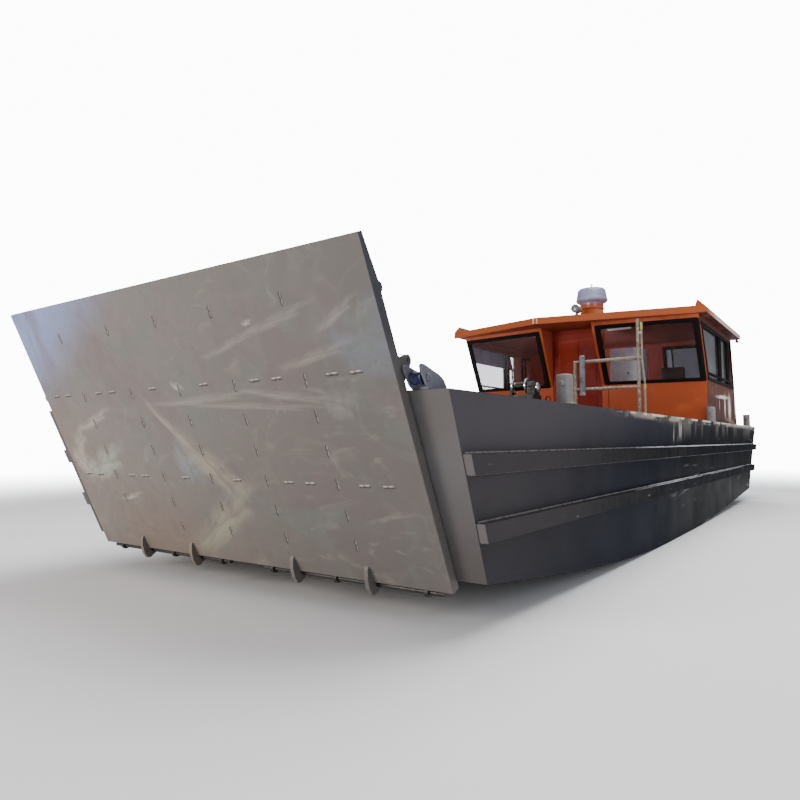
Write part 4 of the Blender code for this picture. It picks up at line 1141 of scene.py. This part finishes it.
# Wheelhouse
@dataclass
class Wheelhouse(Assembly):
    """Wheelhouse shell: paint with painted light and shade, window rubbers, mullions, door details, weld
    strips with painted highlights and roof seams.
    """

    half: float = 2.075
    top: float = 3.19
    sill: float = 2.18
    lean: float = 0.525
    centre_x: float = -1.933
    corner_x: float = -2.15
    recess: float = 0.445
    rubber_y: Pair = (0.489, 2.068)
    rubber_z: Pair = (2.178, 3.136)
    rubber_side: float = 0.09
    rubber_top: float = 0.06
    rubber_bottom: float = 0.05
    rubber_proud: float = 0.014
    rear_wall: Pair = (-4.61, 0.27)
    side_pane: Pair = (2.22, 3.06)
    mullions: Row = (-3.28, -3.44, -4.12, -4.28)
    film_foot: float = 2.74
    film_split: float = -3.66
    film_lean: float = 0.52
    rear_y: Pair = (0.86, 1.75)
    rear_z: Pair = (2.42, 3.08)
    slider_y: float = 1.005

    def lean_at(self, z: float) -> float:
        """How far forward the front windows lean at one height."""
        return max(0.0, (z - self.sill) / (self.top - self.sill)) * self.lean

    def rear_x(self, z: float) -> float:
        """X of the rear wall's outer face, which leans forward."""
        return self.rear_wall[0] - self.rear_wall[1] * (self.top - z)

    def side_front_x(self, z: float) -> float:
        """X of the side wall's front edge."""
        return self.corner_x + self.lean_at(z) - 0.05

    def front_point(self, side: Side, y: float, z: float) -> Vector:
        """Point on the outer face of one half of the front, by distance from the centreline and height."""
        slope = (self.corner_x - self.centre_x) / (self.half - self.recess)
        return Vector((self.centre_x + slope * (y - self.recess) + self.lean_at(z), side.value * y, z))

    def front_rubbers(self) -> None:
        """Broad black rubbers round the two front windows."""
        (y0, y1), (z0, z1), wide = self.rubber_y, self.rubber_z, self.rubber_side
        opening = rim(y0 + wide, z0 + self.rubber_bottom, y1 - wide, z1 - self.rubber_top)
        for side in Side:
            outer = [self.front_point(side, y, z) for y, z in rim(y0, z0, y1, z1)]
            inner = [self.front_point(side, y, z) for y, z in opening]
            out = (outer[1] - outer[0]).cross(outer[3] - outer[0]).normalized()
            out *= self.rubber_proud if out.x > 0 else -self.rubber_proud
            gap, rubber = out * 0.02, Workpiece()
            rubber.ring_frame([p + gap for p in outer], [p + gap for p in inner], out, 0.03, 0.005)
            rubber.done("front_rubber_" + side.word, GASKET)

    def side_ring(self, y: float, back: float, ahead: float, rise: float) -> list[Vector]:
        """Corners of a ring round a side window.

        Args:
            y: Y of the ring.
            back: Its distance from the wall's rear edge.
            ahead: Its distance from the wall's front edge.
            rise: Its distance from the frame's foot and top.

        Returns:
            The four corners.
        """
        foot, top = self.side_pane[0] - 0.03, self.side_pane[1] + 0.03
        return [Vector((x, y, z)) for x, z in (
            (self.rear_x(foot) + back, foot + rise), (self.side_front_x(foot) - ahead, foot + rise),
            (self.side_front_x(top) - ahead, top - rise), (self.rear_x(top) + back, top - rise))]

    def side_windows(self) -> None:
        """Black frames and mullions of the side windows, and the dark film inside them.

        The film is a strip along the top ahead of its split, and as high as the pane behind it.
        """
        (foot, top), split = self.side_pane, self.film_split
        slant = Matrix.Translation((-self.film_lean * self.film_foot, 0, 0)) @ Matrix(
            ((1, 0, self.film_lean, 0), (0, 1, 0, 0), (0, 0, 1, 0), (0, 0, 0, 1)))
        for side in Side:
            trim, film, y = Workpiece(), Workpiece(), side.value * (self.half + 0.0004)
            trim.ring_frame(self.side_ring(y, 0.05, 0.02, 0.0), self.side_ring(y, 0.12, 0.09, 0.06),
                            Vector((0, side.value * 0.012, 0)), 0.02, 0.004)
            low, high = side.span(self.half - 0.045, self.half + 0.012)
            for x in self.mullions:
                trim.block((x - 0.03, low, foot + 0.005), (x + 0.03, high, top - 0.005), 0.004)
            low, high = side.span(self.half - 0.018, self.half + 0.012)
            trim.block((self.rear_x(2.6) + 0.15, low, 2.3), (self.side_front_x(2.3) - 0.1, high, 2.33), 0.003)
            trim.done("side_window_frame_" + side.word, GASKET)
            low, high = side.span(self.half - 0.0325, self.half - 0.0305)
            film.block((split, low, self.film_foot), (-1.99, high, top - 0.02), 0.0005, slant)
            film.block((-4.74, low, foot + 0.02), (split, high, top - 0.02), 0.0005)
            film.done("side_sun_film_" + side.word, SUN_FILM)

    def rear_windows(self) -> None:
        """Rubbers outside, and frames with a slider's bar inside, on the two rear windows."""
        (y0, y1), (z0, z1) = self.rear_y, self.rear_z
        for side in Side:
            outside, inside = Workpiece(), Workpiece()
            for work, ahead, depth in ((outside, -0.0004, -0.012), (inside, 0.0505, 0.014)):
                rings = [[Vector((self.rear_x(z) + ahead, side.value * y, z))
                          for y, z in rim(y0 - grow, z0 - grow, y1 + grow, z1 + grow)]
                         for grow in (0.03, -0.03)]
                work.ring_frame(*rings, Vector((depth, 0, 0)), 0.02, 0.003)
            ends = [(self.rear_x(z) + 0.046, side.value * self.slider_y, z) for z in (z0 + 0.02, z1 - 0.02)]
            inside.rod(*ends, 0.013, 12)
            outside.done("rear_rubber_" + side.word, GASKET)
            inside.done("rear_lining_" + side.word, GASKET)

    def wall_details(self) -> None:
        """Weld strips on the fascia, drawn pale as painted highlights where it bends, a wall seam, a lashing
        ring and the door's panel strips.
        """
        strips, seam, door = Workpiece(), Workpiece(), Workpiece()
        for y, x in ((-0.352, -0.8885), (-0.298, -0.8955)):
            strips.block((x - 0.004, y - 0.014, 3.172), (x + 0.008, y + 0.014, 3.27), 0.004)
        x = self.front_point(Side.PORT, 0.55, 2.1).x + 0.001
        seam.rod((x, 0.55, 1.2), (x, 0.55, 2.16), 0.005, 8)
        seam.ring(0.048, 0.009, self.front_point(Side.STARBOARD, 0.547, 1.975) + Vector((0.01, 0, 0)), X, 32)
        x = self.centre_x + 0.002
        door.block((x - 0.005, -0.29, 1.32), (x + 0.003, 0.03, 2.95), 0.004)
        door.rod((x, 0.036, 1.3), (x, 0.036, 2.97), 0.006, 10)
        strips.done("fascia_weld_strips", PALE_WELD_HIGHLIGHT)
        seam.done("front_wall_seam", MIDDLE_PAINT)
        door.done("wheelhouse_door_panel", MIDDLE_PAINT, "wheelhouse_door")

    def roof_details(self) -> None:
        """Seams and lifting eyes on the roof, light bars below it, tubes below the stern lamps."""
        seams, lights, tubes, roof_top = Workpiece(), Workpiece(), Workpiece(), self.top + 0.0853
        for x in (-2.3, -3.2, -4.1):
            seams.rod((x, -2.03, roof_top), (x, 2.03, roof_top), 0.005, 8, 0.001)
        for x, side in ((x, side) for x in (-1.7, -4.7) for side in Side):
            seams.ring(0.03, 0.009, (x, side.value * 1.75, roof_top + 0.03), Y, 28)
        for y in (-0.68, 0.68):
            lights.block((-2.24, y - 0.2, self.top - 0.035), (-2.12, y + 0.2, self.top + 0.0002), 0.012)
        for y in (side.value * 2.13 for side in Side):
            tubes.rod((-5.07, y, 3.165), (-5.002, y, 3.165), 0.03, 20, 0.004)
        seams.done("roof_seams", ROOF_PAINT)
        lights.done("cabin_lights", LAMP_COVER_GLINT)
        tubes.done("stern_lamp_tubes", DECK_PAINT)

    def build(self) -> None:
        """Dress the wheelhouse."""
        self.dress(HOUSE_PAINT, *both("front_"), *both("side_wall_"), "rear_wall")
        self.dress(MIDDLE_PAINT, "front_middle", "wheelhouse_door")
        self.dress(ROOF_PAINT, "roof")
        self.dress(GLASS, *both("glass_front_"))
        self.dress(SIDE_GLASS, *both("glass_side_"))
        self.dress(REAR_GLASS, *both("glass_rear_"))
        self.dress(BLACK_ABS, *both("stern_lamp_"))
        self.front_rubbers()
        self.side_windows()
        self.rear_windows()
        self.wall_details()
        self.roof_details()


@dataclass
class RoofGear(Assembly):
    """Radome with its seam and top lamp, and the searchlight."""

    radome: Point = (-1.83, 0.33, 3.5)
    lamp: Point = (-1.35, 0.23, 3.4309)

    def radar(self) -> None:
        """Radome in place of its plain node, its top lamp, and its foot with a bolted flange."""
        shell, mast, foot, (x, y, z) = Workpiece(), Workpiece(), Workpiece(), self.radome
        shell.turned(((0.0, 0.0), (0.2, 0.0), (0.195, 0.05), (0.2, 0.08), (0.214, 0.092), (0.25, 0.112),
                      (0.262, 0.124), (0.264, 0.14), (0.2615, 0.17), (0.259, 0.176), (0.2565, 0.178),
                      (0.256, 0.184), (0.238, 0.3), (0.23, 0.322), (0.208, 0.344), (0.15, 0.358),
                      (0.06, 0.364), (0.0, 0.365)), self.radome, sides=72)
        mast.turned(((0.0, 0.362), (0.022, 0.362), (0.022, 0.37), (0.008, 0.378), (0.008, 0.4),
                     (0.015, 0.404), (0.017, 0.43), (0.011, 0.438), (0.0, 0.44)), self.radome, sides=24)
        foot.turned(((0.13, -0.0145), (0.205, -0.0145), (0.205, -0.0025), (0.13, -0.0025)), self.radome,
                    sides=48)
        foot.turned(((0.14, -0.224), (0.2, -0.224), (0.19, -0.016), (0.14, -0.016)), self.radome, sides=48)
        foot.bolts(6, 0.197, (x, y, z - 0.024), 0.01, 0.007)
        shell.done("radome_shell", GEL_COAT, stands_for="radome")
        mast.done("radome_top_lamp", CHROME)
        foot.done("radome_flange", ROOF_PAINT)

    def searchlight(self) -> None:
        """Bezel and lens of the searchlight."""
        bezel, lens, (x, y, z) = Workpiece(), Workpiece(), self.lamp
        bezel.turned(((0.05, 0.0), (0.067, 0.0), (0.071, 0.006), (0.067, 0.014), (0.05, 0.014)),
                     (x + 0.078, y, z), X, 40)
        lens.turned(((0.0, 0.0), (0.052, 0.0), (0.045, 0.006), (0.025, 0.01), (0.0, 0.012)),
                    (x + 0.0802, y, z), X, 32)
        bezel.done("searchlight_bezel", CHEEK_PAINT)
        lens.done("searchlight_lens", LENS)

    def build(self) -> None:
        """Build the radome, and dress the searchlight."""
        self.dress(DECK_PAINT, "searchlight")
        self.radar()
        self.searchlight()


# Cabin
@dataclass
class Cabin(Assembly):
    """Inside of the wheelhouse: console with its instruments, helm seat, wheel grip and cabinet."""

    helm_y: float = 1.17
    deck: float = 1.1703
    seat_x: float = -3.7
    wheel: Pair = (-3.025, 1.85)
    slant: float = math.radians(-24)

    def console(self) -> None:
        """Instruments and levers of the helm console, on its slanted top."""
        panel, dials = Workpiece(), Workpiece()
        top = Matrix.Translation((-2.72, self.helm_y + 0.03, 2.125)) @ Matrix.Rotation(self.slant, 4, "Y")
        panel.block((-0.16, -0.19, -0.004), (0.14, 0.19, 0.012), 0.008, top)
        for y in (-0.15, 0.15):
            panel.block((-0.14, y - 0.02, 0.01), (-0.1, y + 0.02, 0.1), 0.008, top)
        for y in (-0.12, -0.04, 0.04, 0.12):
            dials.turned(((0.0, 0.0), (0.03, 0.0), (0.033, 0.004), (0.03, 0.008), (0.026, 0.005),
                          (0.0, 0.005)), top @ Vector((0.06, y, 0.0115)), top.to_3x3() @ Vector(Z), 24)
        panel.done("console_panel", BLACK_ABS)
        dials.done("console_dials", CHROME)

    def seat(self) -> None:
        """Helm seat: pedestal, and padded seat and back in place of the plain node."""
        x, y, base = self.seat_x, self.helm_y, Workpiece()
        base.turned(((0.0, 0.0), (0.2, 0.0), (0.2, 0.008), (0.08, 0.02), (0.06, 0.05), (0.055, 0.42),
                     (0.0, 0.42)), (x, y, self.deck))
        base.block((x - 0.24, y - 0.2, 1.585), (x + 0.2, y + 0.2, 1.625), 0.008)
        base.block((x - 0.262, y - 0.05, 1.6), (x - 0.248, y + 0.05, 2.2), 0.005)
        base.done("helm_seat_pedestal", CHROME, stands_for="helm_seat")
        for name, low, high in (
                ("helm_seat_cushion", (x - 0.245, y - 0.25, 1.625), (x + 0.25, y + 0.25, 1.745)),
                ("helm_seat_back", (x - 0.247, y - 0.22, 1.76), (x - 0.16, y + 0.22, 2.62))):
            pad = Workpiece()
            pad.cushion(low, high, 0.02)
            piece = pad.done(name, VINYL)
            round_off = piece.modifiers.new("round_off", "SUBSURF")
            round_off.levels = round_off.render_levels = 1

    def cabinet(self) -> None:
        """Door, vents and latch of the equipment cabinet."""
        door, latch = Workpiece(), Workpiece()
        door.block((-2.553, 0.43, 1.3), (-2.543, 0.9, 2.82), 0.004)
        for z in (1.4, 1.44, 1.48):
            door.block((-2.545, 0.55, z), (-2.538, 0.78, z + 0.012), 0.002)
        latch.rod((-2.545, 0.72, 2.42), (-2.53, 0.72, 2.42), 0.014, 16, 0.003)
        door.done("cabinet_door", CABINET_PAINT)
        latch.done("cabinet_latch", BLACK_ABS)

    def wheel_grip(self) -> None:
        """Cover of the helm wheel's rim, and its hub cap."""
        grip, (x, z) = Workpiece(), self.wheel
        grip.ring(0.19, 0.0155, (x, self.helm_y, z), X, 48, 12)
        grip.turned(((0.0, 0.0), (0.034, 0.0), (0.03, 0.008), (0.0, 0.012)), (x - 0.0146, self.helm_y, z),
                    MINUS_X, 32)
        grip.done("helm_wheel_grip", VINYL, "helm_wheel")

    def build(self) -> None:
        """Dress the cabin."""
        self.dress(BLACK_ABS, "helm_console", "helm_wheel")
        self.dress(CABINET_PAINT, "cabinet")
        self.console()
        self.seat()
        self.cabinet()
        self.wheel_grip()


# Machinery
@dataclass
class Machinery(Assembly):
    """Engines, screws and rudders, with their nuts and anodes."""

    screw: Point = (-5.35, 1.05, 0.36)
    rudder: Pair = (-5.75, 0.34)

    def build(self) -> None:
        """Dress the machinery."""
        self.dress(ENGINE_PAINT, *both("engine_"))
        self.dress(BRONZE, *both("screw_"))
        self.dress(DARK_STEEL, *both("rudder_"))
        x, out, z = self.screw
        for side in Side:
            nut, anode, y = Workpiece(), Workpiece(), side.value * out
            nut.turned(((0.0, 0.0), (0.052, 0.0), (0.05, 0.02), (0.036, 0.045), (0.018, 0.06), (0.0, 0.064)),
                       (x - 0.0798, y, z), MINUS_X, 32)
            nut.done("screw_nut_" + side.word, BRONZE, "screw_" + side.word)
            for way in (-0.022, 0.022):
                anode.bead((self.rudder[0] - 0.06, y + way, self.rudder[1]), (0.06, 0.014, 0.03), 16)
            anode.done("rudder_anode_" + side.word, ZINC, "rudder_" + side.word)


# Studio
@dataclass
class Studio:
    """Pale floor, soft lights and the camera at the photograph's angle.

    A light has a name, a place, a size, a power and a colour.
    """

    camera_at: Point = (9.234, 4.062, 1.214)
    yaw: float = math.radians(35.257)
    pitch: float = math.radians(3.641)
    roll: float = math.radians(-0.153)
    lens: float = 29.3
    floor_radius: float = 26.0
    floor_solid: float = 0.35
    surround: float = 0.42
    backdrop: float = 14.0
    cabin_at: Point = (-3.1, 0.0, 2.2)
    cabin_power: float = 34.0
    aim_at: Point = (0.0, 0.0, 1.2)
    lights: tuple[tuple[str, Point, float, float, str], ...] = (
        ("key", (18.0, -6.0, 4.0), 7.0, 1900.0, "#fff6ee"),
        ("fill", (10.0, 14.0, 5.0), 9.0, 600.0, "#eef3ff"),
        ("top", (0.0, 3.0, 13.0), 14.0, 2400.0, "#ffffff"),
        ("back", (-15.0, -5.0, 7.0), 9.0, 900.0, "#f4f6ff"),
    )

    def floor(self) -> None:
        """Round pale floor under the craft, fading out at its rim."""
        work = bmesh.new()
        below = Matrix.Translation((0, 0, -0.002))
        bmesh.ops.create_circle(work, cap_ends=True, segments=96, radius=self.floor_radius, matrix=below)
        mesh = bpy.data.meshes.new("studio_floor")
        work.to_mesh(mesh)
        work.free()
        bench = PaintBench("pale_studio_floor")
        reach = bench.measure("LENGTH", bench.place)
        colour = bench.coats("#fafafa", (Layer("#f2f2f2", 2600, 0.4, 0.7, 0.5),))
        mesh.materials.append(bench.shade({
            "Base Color": colour, "Roughness": 0.9, "Specular IOR Level": 0.1,
            "Alpha": bench.fade(reach, self.floor_radius, self.floor_radius * self.floor_solid)}))
        put("studio_floor", mesh)

    def lamps(self) -> None:
        """Large soft lamps, and daylight in the cabin."""
        for name, place, size, power, colour in self.lights:
            lamp = bpy.data.lights.new(name, "AREA")
            lamp.shape, lamp.size, lamp.energy, lamp.color = "DISK", size, power, hex_rgba(colour)[:3]
            item = put(name, lamp)
            item.location = place
            item.rotation_euler = (Vector(self.aim_at) - Vector(place)).to_track_quat("-Z", "Y").to_euler()
        glow = bpy.data.lights.new("cabin_daylight", "POINT")
        glow.energy, glow.shadow_soft_size, glow.color = self.cabin_power, 0.5, hex_rgba("#d6e2ff")[:3]
        item = put("cabin_daylight", glow)
        item.location = self.cabin_at
        item.visible_camera = False

    def world(self) -> None:
        """Even pale surround, which the camera sees as a bright backdrop."""
        world = bpy.data.worlds.new("pale_surround")
        bpy.context.scene.world = world
        world.use_nodes = True
        tree = world.node_tree
        tree.nodes.clear()
        seen = add_node(tree, "LightPath").outputs["Is Camera Ray"]
        glow = add_node(tree, "MapRange", {"Value": seen, "To Min": self.surround, "To Max": self.backdrop})
        sky = add_node(tree, "Background", {"Color": hex_rgba("#f3f5fa"), "Strength": glow.outputs["Result"]})
        add_node(tree, "OutputWorld", {"Surface": sky.outputs["Background"]})

    def camera(self) -> None:
        """Camera where the photograph was taken from."""
        flat = math.cos(self.pitch)
        ahead = Vector((-math.cos(self.yaw) * flat, -math.sin(self.yaw) * flat, math.sin(self.pitch)))
        right = ahead.cross(Vector(Z)).normalized()
        up = right.cross(ahead)
        turn = Matrix((right, up, -ahead)).transposed().to_4x4() @ Matrix.Rotation(self.roll, 4, "Z")
        data = bpy.data.cameras.new("photo_camera")
        data.lens, data.sensor_width, data.clip_end = self.lens, 36.0, 300.0
        item = put("photo_camera", data)
        item.matrix_world = Matrix.Translation(self.camera_at) @ turn
        bpy.context.scene.camera = item

    def build(self) -> None:
        """Set up the studio."""
        self.floor()
        self.lamps()
        self.world()
        self.camera()


def main() -> None:
    """Load the frame, dress each sub-assembly and set up the studio."""
    logging.basicConfig(level=logging.INFO, format="%(message)s")
    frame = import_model()
    for assembly in (Ramp, Hull, DeckGear, Wheelhouse, RoofGear, Cabin, Machinery):
        LOG.info("%s", assembly.__name__)
        assembly(frame).build()
    Studio().build()


if __name__ == "__main__":
    main()
